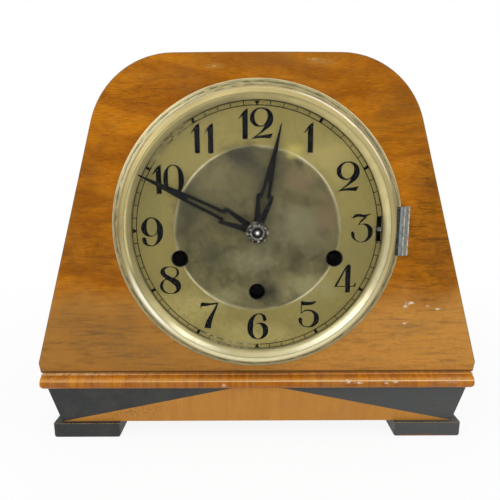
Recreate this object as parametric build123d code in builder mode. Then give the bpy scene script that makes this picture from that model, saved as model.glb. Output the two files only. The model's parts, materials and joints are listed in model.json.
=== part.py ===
"""Mantel clock with a sloping case, a hinged round bezel and a three-train chiming movement.

All sizes are in millimetres. X runs to the right, Y to the back and Z up, and the
origin is on the floor under the middle of the clock. Depths are measured backwards
from the front face of the front board.
"""

import os
from math import acos, atan, atan2, cos, degrees, hypot, pi, radians, sin, sqrt, tan

from build123d import *

os.makedirs("parts", exist_ok=True)

# Case outline, seen from the front
DIAL_Z = 144.5
BODY_BOTTOM_Z = 47.2
BODY_TOP_Z = 251.8
CROWN = 1.0
HALF_AT_DIAL = 121.8
SIDE_LEAN = 0.2925
TOE_HEIGHT = 6.6
TOE_IN = 1.0
SHOULDER_R = 54.5
BOARD_T = 12.0
HOOD_T = 8.0
CASE_DEPTH = 126.0
EDGE_R = 1.0
GLUE_GAP = 0.05

# Base moulding, plinth and feet
MOULD_Z = 37.4
NOSE_TOP_Z = 46.4
NOSE_HALF = 145.2
NOSE_OUT = 6.9
LEDGE_HALF = 145.8
LEDGE_OUT = 2.6
NOSE_R = 4.3
FOOT_H = 10.5
FOOT_OUTER = 140.7
FOOT_INNER = 95.0
FOOT_CORNER_R = 1.8
FOOT_FRONT = -2.0
FOOT_BACK = 122.0
PLINTH_TOP_HALF = 142.4
PLINTH_FOOT_HALF = 135.6
PLINTH_TOP_FRONT = -2.1
PLINTH_FOOT_FRONT = 0.7
PLINTH_BACK = 122.0
PLINTH_WALL = 14.0
VENEER_T = 1.5
WEDGE_TIP = 13.5

# Bezel, glass and dial
DIAL_R = 86.0
DIAL_T = 1.0
CENTRE_DISC_R = 52.8
CENTRE_SINK = 0.3
BOARD_HOLE_R = 80.5
FLANGE_R = 92.2
BAND_R = 87.1
BEZEL_LIFT = 0.1
GLASS_R = 84.0
GLASS_T = 1.5
GLASS_RISE = 10.8
GLASS_SEAT = 7.2
GLASS_LAND = 0.8
SIGHT_R = 80.0
HOLE_R = 5.1
HOLE_HALF = 49.8
HOLE_SIDE_DROP = 18.2
HOLE_LOW_DROP = 40.4
SLOT_X = 77.3
SLOT_RISE = 0.8
SLOT_W = 3.4
SLOT_H = 16.2

# Bezel hinge on the right of the dial
HINGE_X = 93.6
HINGE_D = -1.25
HINGE_H = 31.5
HINGE_SHIFT = -0.7
KNUCKLE_R = 1.1
HINGE_PIN_R = 0.5
LEAF_T = 0.8
HINGE_OUT = 96.8

# Back frame and door
FRAME_T = 8.0
DOOR_HALF = 75.0
DOOR_LOW = 80.0
DOOR_HIGH = 75.0
DOOR_T = 6.5
DOOR_GAP = 0.7
BACK_HINGE_R = 1.8
BACK_HINGE_H = 24.0
BACK_LEAF_W = 13.0
BACK_LEAF_T = 1.0
BACK_HINGE_PIN_R = 0.9
KNOB_X = 62.0
KNOB_R = 6.0
KNOB_L = 11.0
KNOB_STEM_R = 1.6
KNOB_STEM_L = 3.8

# Hands
HAND_T = 0.8
HOUR_HAND_D = -3.8
MINUTE_HAND_D = -6.2
MINUTE_LEN = 80.6
HOUR_LEN = 66.8
MINUTE_TURN = 295.8
HOUR_TURN = 12.6
NUT_R = 6.8
NUT_T = 5.0

# Movement plates and the depths of what runs between them
FRONT_PLATE = 20.0
BACK_PLATE = 62.0
PLATE_T = 2.0
PLATE_HALF = 77.0
PLATE_TOP = 60.0
PLATE_BOTTOM = 68.0
PILLAR_R = 3.5
FIT = 0.06
SEAT = 0.02
PIVOT_R = 1.0
ARBOR_R = 1.5
FINE_ARBOR_R = 1.1
PILLAR_END_R = 2.0
SCREW_R = 2.0
SPACER_R = 5.0
LEVER_D = 6.0
LEVER_T = 1.6
LEVER_STUD_R = 2.0
HOUR_WHEEL_D = 11.5
MINUTE_WHEEL_D = 15.5
STUD_R = 1.2
WHEEL_T = 1.5
PINION_OVER = 0.8
ESCAPE_D = 36.0
ESCAPE_T = 1.2
THIRD_D = 44.0
INTER_D = 51.0
CENTRE_D = 56.0
SECOND_D = 52.0
FLY_D = 28.0
FLY_L = 20.0

# Teeth
PRESSURE = radians(25)
ADDENDUM = 0.8
DEDENDUM = 1.15
BACKLASH = 0.3
GREAT_M = 0.7
GREAT_N = 72
PINION_N = 12
INTER_M = 0.6
INTER_N = 60
CENTRE_M = 0.4
CENTRE_N = 96
THIRD_N = 82
LEAVES = 8
SECOND_M = 0.5
SECOND_N = 60
CANNON_M = 0.6
CANNON_N = 12
MINUTE_N = 36
HOUR_PINION_N = 10
HOUR_N = 40
ESCAPE_N = 42
ESCAPE_R = 11.0
ESCAPE_RISE = 34.0
ANCHOR_RISE = 15.5

# Barrels, winding squares, ratchets and clicks
BARREL_R = 22.0
BARREL_WALL = 1.5
GREAT_D = 24.0
GREAT_T = 2.5
BARREL_END = 48.5
BARREL_ARBOR_R = 4.0
SQUARE = 4.4
SQUARE_D = 4.0
FRONT_PIVOT_R = 3.2
BACK_PIVOT_R = 2.0
RATCHET_R = 9.5
RATCHET_N = 24
RATCHET_D = 17.0
RATCHET_T = 2.0
CLICK_REACH = 15.5
CLICK_GAP = 0.5
CLICK_STUD_R = 1.5
SPRING_T = 0.45
SPRING_PITCH = 1.5
SPRING_IN = 7.0
SPRING_TURNS = 8

# Pendulum, hammers and gong
PENDULUM_L = 120.0
PENDULUM_D = 72.0
ROD_W = 3.0
ROD_T = 1.2
BOB_R = 15.0
BOB_T = 8.0
HAMMERS = 4
HAMMER_D = 86.5
HAMMER_STEP = 7.0
HAMMER_X = 34.0
HAMMER_DROP = 46.0
HAMMER_T = 2.4
SPINDLE_R = 1.5
HEAD_X = 4.0
DRUM_R = 12.0
DRUM_PIN = 1.5
GONG_R = 1.5
GONG_HELD = 12.0
GONG_DROP = 86.0
BRACKET_D = 113.0
BLOCK_X = 92.0
BLOCK_W = 20.0

# The glass and the back knob reach equally far from the origin
GLASS_TOP = GLASS_SEAT + GLASS_T + GLASS_RISE
FRONT_Y = -(CASE_DEPTH + KNOB_L - GLASS_TOP) / 2


def front(depth, at=(0.0, 0.0)):
    """Plane at a depth behind the board's face, looking out of the front."""
    return Plane(origin=(at[0], FRONT_Y + depth, at[1]), x_dir=(1, 0, 0), z_dir=(0, -1, 0))


def section():
    """Plane for profiles turned about the dial: across is the radius, up is the depth."""
    return Plane(origin=(0, FRONT_Y, DIAL_Z), x_dir=(1, 0, 0), z_dir=(0, 0, 1))


def level(z, depth_a, depth_b):
    """Level plane centred between two depths."""
    return Plane(origin=(0, FRONT_Y + (depth_a + depth_b) / 2, z))


def polar(at, reach, angle):
    """Point at a distance and an angle from another, seen from the front."""
    return at[0] + reach * cos(radians(angle)), at[1] + reach * sin(radians(angle))


def bearing(a, b):
    """Angle in degrees from one point to another, seen from the front."""
    return degrees(atan2(b[1] - a[1], b[0] - a[0]))


def meet(a, reach_a, b, reach_b, side):
    """Point at two given distances from two points, left of a to b where side is 1."""
    dx, dz = b[0] - a[0], b[1] - a[1]
    dist = hypot(dx, dz)
    along = (reach_a**2 - reach_b**2 + dist**2) / (2 * dist)
    off = side * sqrt(reach_a**2 - along**2)
    return a[0] + (along * dx - off * dz) / dist, a[1] + (along * dz + off * dx) / dist


def half_width(z):
    """Half the width of the case at a height."""
    return HALF_AT_DIAL - SIDE_LEAN * (z - DIAL_Z)


def case_face(depth, inset, bottom):
    """Outline of the case at a depth, moved in by inset."""
    in_x = inset * sqrt(1 + SIDE_LEAN**2)
    top = BODY_TOP_Z - inset
    corner = top - CROWN
    toe_z = BODY_BOTTOM_Z + TOE_HEIGHT
    half_top = half_width(corner) - in_x
    half_toe = half_width(toe_z) - in_x
    half_low = half_toe - TOE_IN
    with BuildSketch(front(depth)) as face:
        with BuildLine():
            Polyline(
                (-half_top, corner),
                (-half_toe, toe_z),
                (-half_low, bottom),
                (half_low, bottom),
                (half_toe, toe_z),
                (half_top, corner),
            )
            ThreePointArc((half_top, corner), (0, top), (-half_top, corner))
        make_face()
        fillet(face.vertices().group_by(Axis.Y)[-1], SHOULDER_R - inset)
    return face.sketch


def disc(depth, radius, at):
    """Round face at a depth."""
    with BuildSketch(front(depth, at)) as face:
        Circle(radius)
    return face.sketch


def block_face(depth, at, width, height):
    """Rectangular face at a depth, centred on a point."""
    with BuildSketch(front(depth, at)) as face:
        Rectangle(width, height)
    return face.sketch


def shape_face(depth, at, points):
    """Face bounded by straight lines at a depth, its points given from at."""
    with BuildSketch(front(depth, at)) as face:
        with BuildLine():
            Polyline(*points, close=True)
        make_face()
    return face.sketch


def pin(near, far, radius, at, mode=Mode.ADD):
    """Cylinder between two depths."""
    extrude(disc(far, radius, at), amount=far - near, mode=mode)


def block(near, far, at, width, height, mode=Mode.ADD):
    """Box between two depths."""
    extrude(block_face(far, at, width, height), amount=far - near, mode=mode)


def plate(near, far, at, points, mode=Mode.ADD):
    """Straight-sided plate between two depths."""
    extrude(shape_face(far, at, points), amount=far - near, mode=mode)


def gear_points(module, teeth, phase):
    """Outline of a gear with a tooth at the phase angle."""
    pitch_r = module * teeth / 2
    base_r = pitch_r * cos(PRESSURE)
    root_r = pitch_r - DEDENDUM * module
    half = (pi - BACKLASH) * module / (4 * pitch_r) + tan(PRESSURE) - PRESSURE
    radii = [root_r, pitch_r, pitch_r + ADDENDUM * module]
    if base_r > root_r:
        radii.insert(1, base_r)
    flank = []
    for radius in radii:
        lean = acos(min(1.0, base_r / radius))
        flank.append((radius, half - tan(lean) + lean))
    points = []
    for tooth in range(teeth):
        middle = radians(phase) + 2 * pi * tooth / teeth
        for radius, width in flank:
            points.append((radius * cos(middle - width), radius * sin(middle - width)))
        for radius, width in reversed(flank):
            points.append((radius * cos(middle + width), radius * sin(middle + width)))
    return points


def gear(near, far, module, teeth, phase, at):
    """Toothed disc between two depths."""
    plate(near, far, at, gear_points(module, teeth, phase))


def pinion(wheel_d, module, teeth, phase, at):
    """Pinion a little longer than the wheel that drives it."""
    gear(wheel_d - PINION_OVER, wheel_d + WHEEL_T + PINION_OVER, module, teeth, phase, at)


def meshed(phase, teeth, other_teeth, toward):
    """Phase of the other gear, which lies at the angle toward, so that the teeth mesh."""
    ahead = (toward - phase) % (360 / teeth)
    return toward + 180 + (ahead * teeth + 180) / other_teeth


def reach(module, teeth, other_teeth):
    """Distance between the centres of two gears."""
    return module * (teeth + other_teeth) / 2


def windows(near, far, at, circle_r, hole_r, count):
    """Ring of round windows that lightens a wheel."""
    for index in range(count):
        pin(near, far, hole_r, polar(at, circle_r, 360 * index / count), Mode.SUBTRACT)


def arbor(at, radius=ARBOR_R):
    """Arbor between the plates, with a pivot in each."""
    pin(FRONT_PLATE, BACK_PLATE + PLATE_T, PIVOT_R, at)
    pin(FRONT_PLATE + PLATE_T + 0.3, BACK_PLATE - 0.3, radius, at)


def save(built, name):
    """Name a sub-part and write its file."""
    built.part.label = name
    export_step(built.part, "parts/" + name + ".step")


DIAL_AXIS = Axis((0, 0, DIAL_Z), (0, 1, 0))

# Centres of the arbors
CENTRE = (0.0, DIAL_Z)
TIME = (0.0, DIAL_Z - HOLE_LOW_DROP)
STRIKE = (-HOLE_HALF, DIAL_Z - HOLE_SIDE_DROP)
CHIME = (HOLE_HALF, DIAL_Z - HOLE_SIDE_DROP)
GREAT_REACH = reach(GREAT_M, GREAT_N, PINION_N)
SECOND_REACH = reach(SECOND_M, SECOND_N, PINION_N)
INTER = meet(TIME, GREAT_REACH, CENTRE, reach(INTER_M, INTER_N, PINION_N), -1)
ESCAPE = (0.0, DIAL_Z + ESCAPE_RISE)
THIRD = meet(CENTRE, reach(CENTRE_M, CENTRE_N, LEAVES), ESCAPE, reach(CENTRE_M, THIRD_N, LEAVES), 1)
ANCHOR = (0.0, ESCAPE[1] + ANCHOR_RISE)
STRIKE_SECOND = polar(STRIKE, GREAT_REACH, 101.5)
CHIME_SECOND = polar(CHIME, GREAT_REACH, 78.5)
STRIKE_FLY = polar(STRIKE_SECOND, SECOND_REACH, 74.0)
CHIME_FLY = polar(CHIME_SECOND, SECOND_REACH, 106.0)
DRUM = polar(CHIME, GREAT_REACH, -70.0)
MINUTE_WHEEL = polar(CENTRE, reach(CANNON_M, CANNON_N, MINUTE_N), 60.0)
HOUR_M = 2 * reach(CANNON_M, CANNON_N, MINUTE_N) / (HOUR_PINION_N + HOUR_N)
LEVER = (44.0, DIAL_Z + SLOT_RISE)
HAMMER = (HAMMER_X, DIAL_Z - HAMMER_DROP)
BRACKET_POSTS = [(47.0, DIAL_Z - 27.0), (47.0, DIAL_Z - 64.0)]
PILLARS = [(x, DIAL_Z + z) for x in (-72.0, 72.0) for z in (-52.0, 38.0)]
MOUNTS = [(x, DIAL_Z + z) for x in (-66.0, 66.0) for z in (-62.0, 54.0)]
WINDERS = {"time": TIME, "strike": STRIKE, "chime": CHIME}
CLICK_ANGLE = {"time": 180.0, "strike": 20.0, "chime": 160.0}
CLICK_NOSE = {"time": 40.0, "strike": 40.0, "chime": -40.0}
CLICKS = {name: polar(at, CLICK_REACH, CLICK_ANGLE[name]) for name, at in WINDERS.items()}
PIVOTS = [INTER, CENTRE, THIRD, ESCAPE, STRIKE_SECOND, CHIME_SECOND, STRIKE_FLY, CHIME_FLY, DRUM]

# Phases of the teeth, worked along each train
INTER_PINION_PHASE = meshed(0.0, GREAT_N, PINION_N, bearing(TIME, INTER))
CENTRE_PINION_PHASE = meshed(0.0, INTER_N, PINION_N, bearing(INTER, CENTRE))
THIRD_PINION_PHASE = meshed(0.0, CENTRE_N, LEAVES, bearing(CENTRE, THIRD))
ESCAPE_PINION_PHASE = meshed(0.0, THIRD_N, LEAVES, bearing(THIRD, ESCAPE))
MINUTE_WHEEL_PHASE = meshed(0.0, CANNON_N, MINUTE_N, bearing(CENTRE, MINUTE_WHEEL))
HOUR_WHEEL_PHASE = meshed(0.0, HOUR_PINION_N, HOUR_N, bearing(MINUTE_WHEEL, CENTRE))

# Case: front board, bent hood, moulding, plinth and feet
with BuildPart() as front_board:
    extrude(case_face(BOARD_T, 0.0, BODY_BOTTOM_Z), amount=BOARD_T)
    pin(0.0, BOARD_T, BOARD_HOLE_R, CENTRE, Mode.SUBTRACT)
    for at in MOUNTS:
        pin(3.0, BOARD_T, SCREW_R + FIT, at, Mode.SUBTRACT)
    outline = front_board.faces().sort_by(Axis.Y)[0].outer_wire().edges()
    fillet(outline.sort_by(Axis.Z)[1:], EDGE_R)
save(front_board, "front_board")

with BuildPart() as case_hood:
    extrude(case_face(CASE_DEPTH, 0.0, BODY_BOTTOM_Z), amount=CASE_DEPTH - BOARD_T)
    extrude(
        case_face(CASE_DEPTH, HOOD_T, BODY_BOTTOM_Z),
        amount=CASE_DEPTH - BOARD_T,
        mode=Mode.SUBTRACT,
    )
save(case_hood, "case_hood")

with BuildPart() as base_moulding:
    with BuildSketch(level(MOULD_Z, -NOSE_OUT, CASE_DEPTH)):
        Rectangle(2 * NOSE_HALF, CASE_DEPTH + NOSE_OUT)
    extrude(amount=NOSE_TOP_Z - MOULD_Z)
    low_edges = base_moulding.edges().group_by(Axis.Z)[0].sort_by(Axis.Y)[:-1]
    high_edge = base_moulding.edges().group_by(Axis.Z)[-1].sort_by(Axis.Y)[:1]
    fillet(low_edges + high_edge, NOSE_R)
    with BuildSketch(level(NOSE_TOP_Z, -LEDGE_OUT, CASE_DEPTH)):
        Rectangle(2 * LEDGE_HALF, CASE_DEPTH + LEDGE_OUT)
    extrude(amount=BODY_BOTTOM_Z - NOSE_TOP_Z)
    ledge = base_moulding.edges().group_by(Axis.Z)[-1].sort_by(Axis.Y)[:-1]
    fillet(ledge, 0.5)
save(base_moulding, "base_moulding")

PLINTH_H = MOULD_Z - FOOT_H
PLINTH_LEAN = atan((PLINTH_FOOT_FRONT - PLINTH_TOP_FRONT) / PLINTH_H)
PLINTH_FACE = Plane(
    origin=(0, FRONT_Y + PLINTH_TOP_FRONT, MOULD_Z),
    x_dir=(1, 0, 0),
    z_dir=(0, -cos(PLINTH_LEAN), -sin(PLINTH_LEAN)),
)
PLINTH_SLANT = PLINTH_H / cos(PLINTH_LEAN)
FACE_BACK = VENEER_T / cos(PLINTH_LEAN)
FACE_TOP = -VENEER_T * tan(PLINTH_LEAN)

with BuildPart() as plinth_frame:
    with BuildSketch(level(FOOT_H, PLINTH_FOOT_FRONT + FACE_BACK, PLINTH_BACK - 6)):
        Rectangle(2 * PLINTH_FOOT_HALF, PLINTH_BACK - 6 - PLINTH_FOOT_FRONT - FACE_BACK)
    with BuildSketch(level(MOULD_Z, PLINTH_TOP_FRONT + FACE_BACK, PLINTH_BACK)):
        Rectangle(2 * PLINTH_TOP_HALF, PLINTH_BACK - PLINTH_TOP_FRONT - FACE_BACK)
    loft()
    with BuildSketch(level(FOOT_H, PLINTH_FOOT_FRONT + PLINTH_WALL, PLINTH_BACK - 6 - PLINTH_WALL)):
        Rectangle(
            2 * (PLINTH_FOOT_HALF - PLINTH_WALL),
            PLINTH_BACK - 6 - PLINTH_FOOT_FRONT - 2 * PLINTH_WALL,
        )
    extrude(amount=PLINTH_H, mode=Mode.SUBTRACT)
save(plinth_frame, "plinth_frame")

with BuildPart() as plinth_front:
    with BuildSketch(PLINTH_FACE):
        with BuildLine():
            Polyline(
                (-WEDGE_TIP, FACE_TOP),
                (-PLINTH_FOOT_HALF, -PLINTH_SLANT),
                (PLINTH_FOOT_HALF, -PLINTH_SLANT),
                (WEDGE_TIP, FACE_TOP),
                close=True,
            )
        make_face()
    extrude(amount=-VENEER_T)
save(plinth_front, "plinth_front")

with BuildPart() as plinth_wedges:
    for side in (-1, 1):
        with BuildSketch(PLINTH_FACE):
            with BuildLine():
                Polyline(
                    (side * WEDGE_TIP, FACE_TOP),
                    (side * PLINTH_TOP_HALF, FACE_TOP),
                    (side * PLINTH_FOOT_HALF, -PLINTH_SLANT),
                    close=True,
                )
            make_face()
        extrude(amount=-VENEER_T)
save(plinth_wedges, "plinth_wedges")

with BuildPart() as feet:
    for side in (-1, 1):
        with BuildSketch(front(FOOT_BACK, (side * (FOOT_OUTER + FOOT_INNER) / 2, FOOT_H / 2))):
            Rectangle(FOOT_OUTER - FOOT_INNER, FOOT_H)
        extrude(amount=FOOT_BACK - FOOT_FRONT)
    fillet(feet.edges().filter_by(Axis.Y).group_by(Axis.Z)[0], FOOT_CORNER_R)
    fillet(feet.faces().group_by(Axis.Y)[0].edges(), 0.6)
save(feet, "feet")

# Back frame, door, hinges and knob
DOOR_MID = (0.0, DIAL_Z + (DOOR_HIGH - DOOR_LOW) / 2)
BACK_HINGE_X = -DOOR_HALF + DOOR_GAP / 2
BACK_HINGE_D = CASE_DEPTH + BACK_HINGE_R + 0.15
BACK_HINGE_Z = [DIAL_Z - 50.0, DIAL_Z + 45.0]

with BuildPart() as back_frame:
    extrude(case_face(CASE_DEPTH, HOOD_T + GLUE_GAP, BODY_BOTTOM_Z), amount=FRAME_T)
    block(
        CASE_DEPTH - FRAME_T, CASE_DEPTH, DOOR_MID, 2 * DOOR_HALF, DOOR_HIGH + DOOR_LOW, Mode.SUBTRACT
    )
save(back_frame, "back_frame")

with BuildPart() as back_door:
    block(
        CASE_DEPTH - DOOR_T,
        CASE_DEPTH,
        DOOR_MID,
        2 * (DOOR_HALF - DOOR_GAP),
        DOOR_HIGH + DOOR_LOW - 2 * DOOR_GAP,
    )
    pin(CASE_DEPTH - KNOB_STEM_L - 0.2, CASE_DEPTH, KNOB_STEM_R + FIT, (KNOB_X, DIAL_Z), Mode.SUBTRACT)
save(back_door, "back_door")

with BuildPart() as door_knob:
    pin(CASE_DEPTH + KNOB_L - 5.5, CASE_DEPTH + KNOB_L, KNOB_R, (KNOB_X, DIAL_Z))
    fillet(door_knob.edges().filter_by(GeomType.CIRCLE), 2.2)
    pin(CASE_DEPTH, CASE_DEPTH + KNOB_L - 5.0, 2.4, (KNOB_X, DIAL_Z))
    pin(CASE_DEPTH, CASE_DEPTH + 1.2, 4.5, (KNOB_X, DIAL_Z))
    pin(CASE_DEPTH - KNOB_STEM_L, CASE_DEPTH, KNOB_STEM_R, (KNOB_X, DIAL_Z))
save(door_knob, "door_knob")


def upright(x, depth, z):
    """Level plane at a height, centred on a hinge line."""
    return Plane(origin=(x, FRONT_Y + depth, z))


KNUCKLE_H = BACK_HINGE_H / 3

with BuildPart() as back_hinge_leaves:
    for z in BACK_HINGE_Z:
        block(
            CASE_DEPTH,
            CASE_DEPTH + BACK_LEAF_T,
            (BACK_HINGE_X - 2.0 - BACK_LEAF_W / 2, z),
            BACK_LEAF_W,
            BACK_HINGE_H,
        )
        for low in (-BACK_HINGE_H / 2, BACK_HINGE_H / 2 - KNUCKLE_H):
            with BuildSketch(upright(BACK_HINGE_X, BACK_HINGE_D, z + low)):
                Circle(BACK_HINGE_R)
            extrude(amount=KNUCKLE_H)
            block(
                CASE_DEPTH + 0.1,
                CASE_DEPTH + BACK_LEAF_T,
                (BACK_HINGE_X - 1.4, z + low + KNUCKLE_H / 2),
                2.4,
                KNUCKLE_H,
            )
        with BuildSketch(upright(BACK_HINGE_X, BACK_HINGE_D, z - BACK_HINGE_H / 2)):
            Circle(BACK_HINGE_PIN_R)
        extrude(amount=BACK_HINGE_H)
save(back_hinge_leaves, "back_hinge_leaves")

with BuildPart() as door_hinge_leaves:
    for z in BACK_HINGE_Z:
        block(
            CASE_DEPTH,
            CASE_DEPTH + BACK_LEAF_T,
            (BACK_HINGE_X + 2.0 + BACK_LEAF_W / 2, z),
            BACK_LEAF_W,
            BACK_HINGE_H,
        )
        block(
            CASE_DEPTH + 0.1,
            CASE_DEPTH + BACK_LEAF_T,
            (BACK_HINGE_X + 1.4, z),
            2.4,
            KNUCKLE_H - 0.4,
        )
        with BuildSketch(upright(BACK_HINGE_X, BACK_HINGE_D, z - KNUCKLE_H / 2 + 0.2)):
            Circle(BACK_HINGE_R)
        extrude(amount=KNUCKLE_H - 0.4)
        with BuildSketch(upright(BACK_HINGE_X, BACK_HINGE_D, z - KNUCKLE_H / 2)):
            Circle(BACK_HINGE_PIN_R + FIT)
        extrude(amount=KNUCKLE_H, mode=Mode.SUBTRACT)
save(door_hinge_leaves, "door_hinge_leaves")

# Bezel: ring, glass, sight ring and hinge
BAND_TOP = -GLASS_SEAT - GLASS_T - 1.5

with BuildPart() as bezel_ring:
    with BuildSketch(section()):
        with BuildLine():
            Polyline(
                (BAND_R - 2.2, BAND_TOP + 0.6),
                (BAND_R - 4.5, BAND_TOP),
                (BAND_R - 4.5, BAND_TOP + 0.8),
                (GLASS_R + 0.3, BAND_TOP + 1.1),
                (GLASS_R + 0.3, -DIAL_T - 0.4),
                (DIAL_R + 0.5, -DIAL_T - 0.4),
                (DIAL_R + 0.5, -BEZEL_LIFT),
                (FLANGE_R, -BEZEL_LIFT),
                (FLANGE_R, -0.9),
                (FLANGE_R - 0.6, -1.4),
                (BAND_R + 0.5, -1.4),
                (BAND_R, -1.9),
                (BAND_R, -5.4),
            )
            ThreePointArc((BAND_R, -5.4), (BAND_R - 0.6, -7.9), (BAND_R - 2.2, BAND_TOP + 0.6))
        make_face()
    revolve(axis=DIAL_AXIS)
save(bezel_ring, "bezel_ring")

GLASS_BALL = (GLASS_R**2 + GLASS_RISE**2) / (2 * GLASS_RISE)
HOLLOW_BALL = ((GLASS_R - GLASS_LAND) ** 2 + GLASS_RISE**2) / (2 * GLASS_RISE)

with BuildPart() as bezel_glass:
    pin(-GLASS_TOP, -GLASS_SEAT, GLASS_R, CENTRE)
    with Locations((0, FRONT_Y - GLASS_TOP + GLASS_BALL, DIAL_Z)):
        Sphere(GLASS_BALL, mode=Mode.INTERSECT)
    with Locations((0, FRONT_Y - GLASS_TOP + GLASS_T + HOLLOW_BALL, DIAL_Z)):
        Sphere(HOLLOW_BALL, mode=Mode.SUBTRACT)
save(bezel_glass, "bezel_glass")

with BuildPart() as sight_ring:
    with BuildSketch(section()):
        with BuildLine():
            Polyline(
                (GLASS_R + 0.2, -GLASS_SEAT + 0.1),
                (GLASS_R - 0.6, -GLASS_SEAT + 0.1),
                (SIGHT_R, -2.6),
                (SIGHT_R, -1.4),
                (SIGHT_R + 0.3, -1.4),
                (GLASS_R - 0.6, -GLASS_SEAT + 1.4),
                (GLASS_R - 0.6, -1.6),
                (GLASS_R + 0.2, -1.6),
                close=True,
            )
        make_face()
    revolve(axis=DIAL_AXIS)
save(sight_ring, "sight_ring")

HINGE_Z = DIAL_Z + HINGE_SHIFT - HINGE_H / 2
BEZEL_KNUCKLE = HINGE_H / 5

with BuildPart() as case_hinge_leaf:
    leaf_mid = (HINGE_X + KNUCKLE_R + 0.3 + HINGE_OUT) / 2
    block(
        -LEAF_T, 0.0, (leaf_mid, DIAL_Z + HINGE_SHIFT), HINGE_OUT - HINGE_X - KNUCKLE_R - 0.3, HINGE_H
    )
    for index in (0, 2, 4):
        with BuildSketch(upright(HINGE_X, HINGE_D, HINGE_Z + index * BEZEL_KNUCKLE)):
            Circle(KNUCKLE_R)
        extrude(amount=BEZEL_KNUCKLE)
        block(
            -LEAF_T,
            -0.15,
            (HINGE_X + 1.0, HINGE_Z + (index + 0.5) * BEZEL_KNUCKLE),
            2.0,
            BEZEL_KNUCKLE,
        )
    with BuildSketch(upright(HINGE_X, HINGE_D, HINGE_Z)):
        Circle(HINGE_PIN_R)
    extrude(amount=HINGE_H)
save(case_hinge_leaf, "case_hinge_leaf")

with BuildPart() as bezel_hinge_leaf:
    leaf_low, leaf_high = -1.5 - LEAF_T, -1.5
    block(
        leaf_low,
        leaf_high,
        (HINGE_X - 3.2, DIAL_Z + HINGE_SHIFT),
        3.6,
        HINGE_H - 0.4,
    )
    for index in (1, 3):
        with BuildSketch(upright(HINGE_X, HINGE_D, HINGE_Z + index * BEZEL_KNUCKLE + 0.15)):
            Circle(KNUCKLE_R)
        extrude(amount=BEZEL_KNUCKLE - 0.3)
        block(
            leaf_low,
            leaf_high,
            (HINGE_X - 1.0, HINGE_Z + (index + 0.5) * BEZEL_KNUCKLE),
            2.0,
            BEZEL_KNUCKLE - 0.3,
        )
        with BuildSketch(upright(HINGE_X, HINGE_D, HINGE_Z + index * BEZEL_KNUCKLE)):
            Circle(HINGE_PIN_R + FIT)
        extrude(amount=BEZEL_KNUCKLE, mode=Mode.SUBTRACT)
save(bezel_hinge_leaf, "bezel_hinge_leaf")

# Dial
with BuildPart() as dial_plate:
    pin(-DIAL_T, 0.0, DIAL_R, CENTRE)
    pin(-DIAL_T, -DIAL_T + CENTRE_SINK, CENTRE_DISC_R, CENTRE, Mode.SUBTRACT)
    pin(-DIAL_T, 0.0, 5.0, CENTRE, Mode.SUBTRACT)
    for at in WINDERS.values():
        pin(-DIAL_T, 0.0, HOLE_R, at, Mode.SUBTRACT)
    block(-DIAL_T, 0.0, (SLOT_X, DIAL_Z + SLOT_RISE), SLOT_W, SLOT_H, Mode.SUBTRACT)
save(dial_plate, "dial_plate")

# Hands, their pipes and the motion work
CANNON_R = 2.8
CANNON_BORE = 1.8
PIPE_R = 4.0


def hand_face(depth, turn, length, slot_end, shoulder, hub, bore):
    """Pierced arrow hand, turned clockwise from twelve, with its hub."""
    outer = [
        (2.6, 0.0),
        (5.6, shoulder),
        (3.2, shoulder + 0.8),
        (2.6, slot_end),
        (0.35, length),
    ]
    inner = [
        (0.0, 10.0),
        (3.0, shoulder - 2.2),
        (1.2, shoulder - 1.6),
        (0.7, slot_end - 2.0),
    ]
    along = (cos(radians(turn)), 0, -sin(radians(turn)))
    plane = Plane(origin=(0, FRONT_Y + depth, DIAL_Z), x_dir=along, z_dir=(0, -1, 0))
    with BuildSketch(plane) as face:
        with BuildLine():
            Polyline(*outer, *[(-x, y) for x, y in reversed(outer)], close=True)
        make_face()
        with BuildLine():
            Polyline(*inner, *[(-x, y) for x, y in reversed(inner[1:])], close=True)
        make_face(mode=Mode.SUBTRACT)
        Circle(hub)
        Circle(bore + SEAT, mode=Mode.SUBTRACT)
    return face.sketch


with BuildPart() as hour_hand:
    extrude(hand_face(HOUR_HAND_D, HOUR_TURN, HOUR_LEN, 33.0, 23.0, 6.0, PIPE_R), amount=HAND_T)
save(hour_hand, "hour_hand")

with BuildPart() as minute_hand:
    extrude(hand_face(MINUTE_HAND_D, MINUTE_TURN, MINUTE_LEN, 49.5, 24.2, 5.6, CANNON_R), amount=HAND_T)
save(minute_hand, "minute_hand")

NUT_BACK = MINUTE_HAND_D - HAND_T
with BuildPart() as hand_nut:
    pin(NUT_BACK - NUT_T, NUT_BACK, NUT_R, CENTRE)
    fillet(hand_nut.faces().sort_by(Axis.Y)[0].edges(), 0.9)
    pin(NUT_BACK - NUT_T, NUT_BACK, CANNON_R + SEAT, CENTRE, Mode.SUBTRACT)
save(hand_nut, "hand_nut")

CANNON_END = MINUTE_WHEEL_D + WHEEL_T + 1.0
with BuildPart() as cannon_pinion:
    pin(NUT_BACK - NUT_T + 0.9, CANNON_END + 0.6, CANNON_R, CENTRE)
    gear(MINUTE_WHEEL_D - 0.5, CANNON_END, CANNON_M, CANNON_N, 0.0, CENTRE)
    pin(NUT_BACK - NUT_T + 0.9, CANNON_END + 0.6, CANNON_BORE + FIT, CENTRE, Mode.SUBTRACT)
save(cannon_pinion, "cannon_pinion")

with BuildPart() as hour_wheel:
    gear(HOUR_WHEEL_D, HOUR_WHEEL_D + WHEEL_T, HOUR_M, HOUR_N, HOUR_WHEEL_PHASE, CENTRE)
    pin(HOUR_HAND_D - HAND_T, HOUR_WHEEL_D + WHEEL_T + 1.0, PIPE_R, CENTRE)
    pin(HOUR_HAND_D - HAND_T, HOUR_WHEEL_D + WHEEL_T + 1.0, CANNON_R + FIT, CENTRE, Mode.SUBTRACT)
save(hour_wheel, "hour_wheel")

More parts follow.
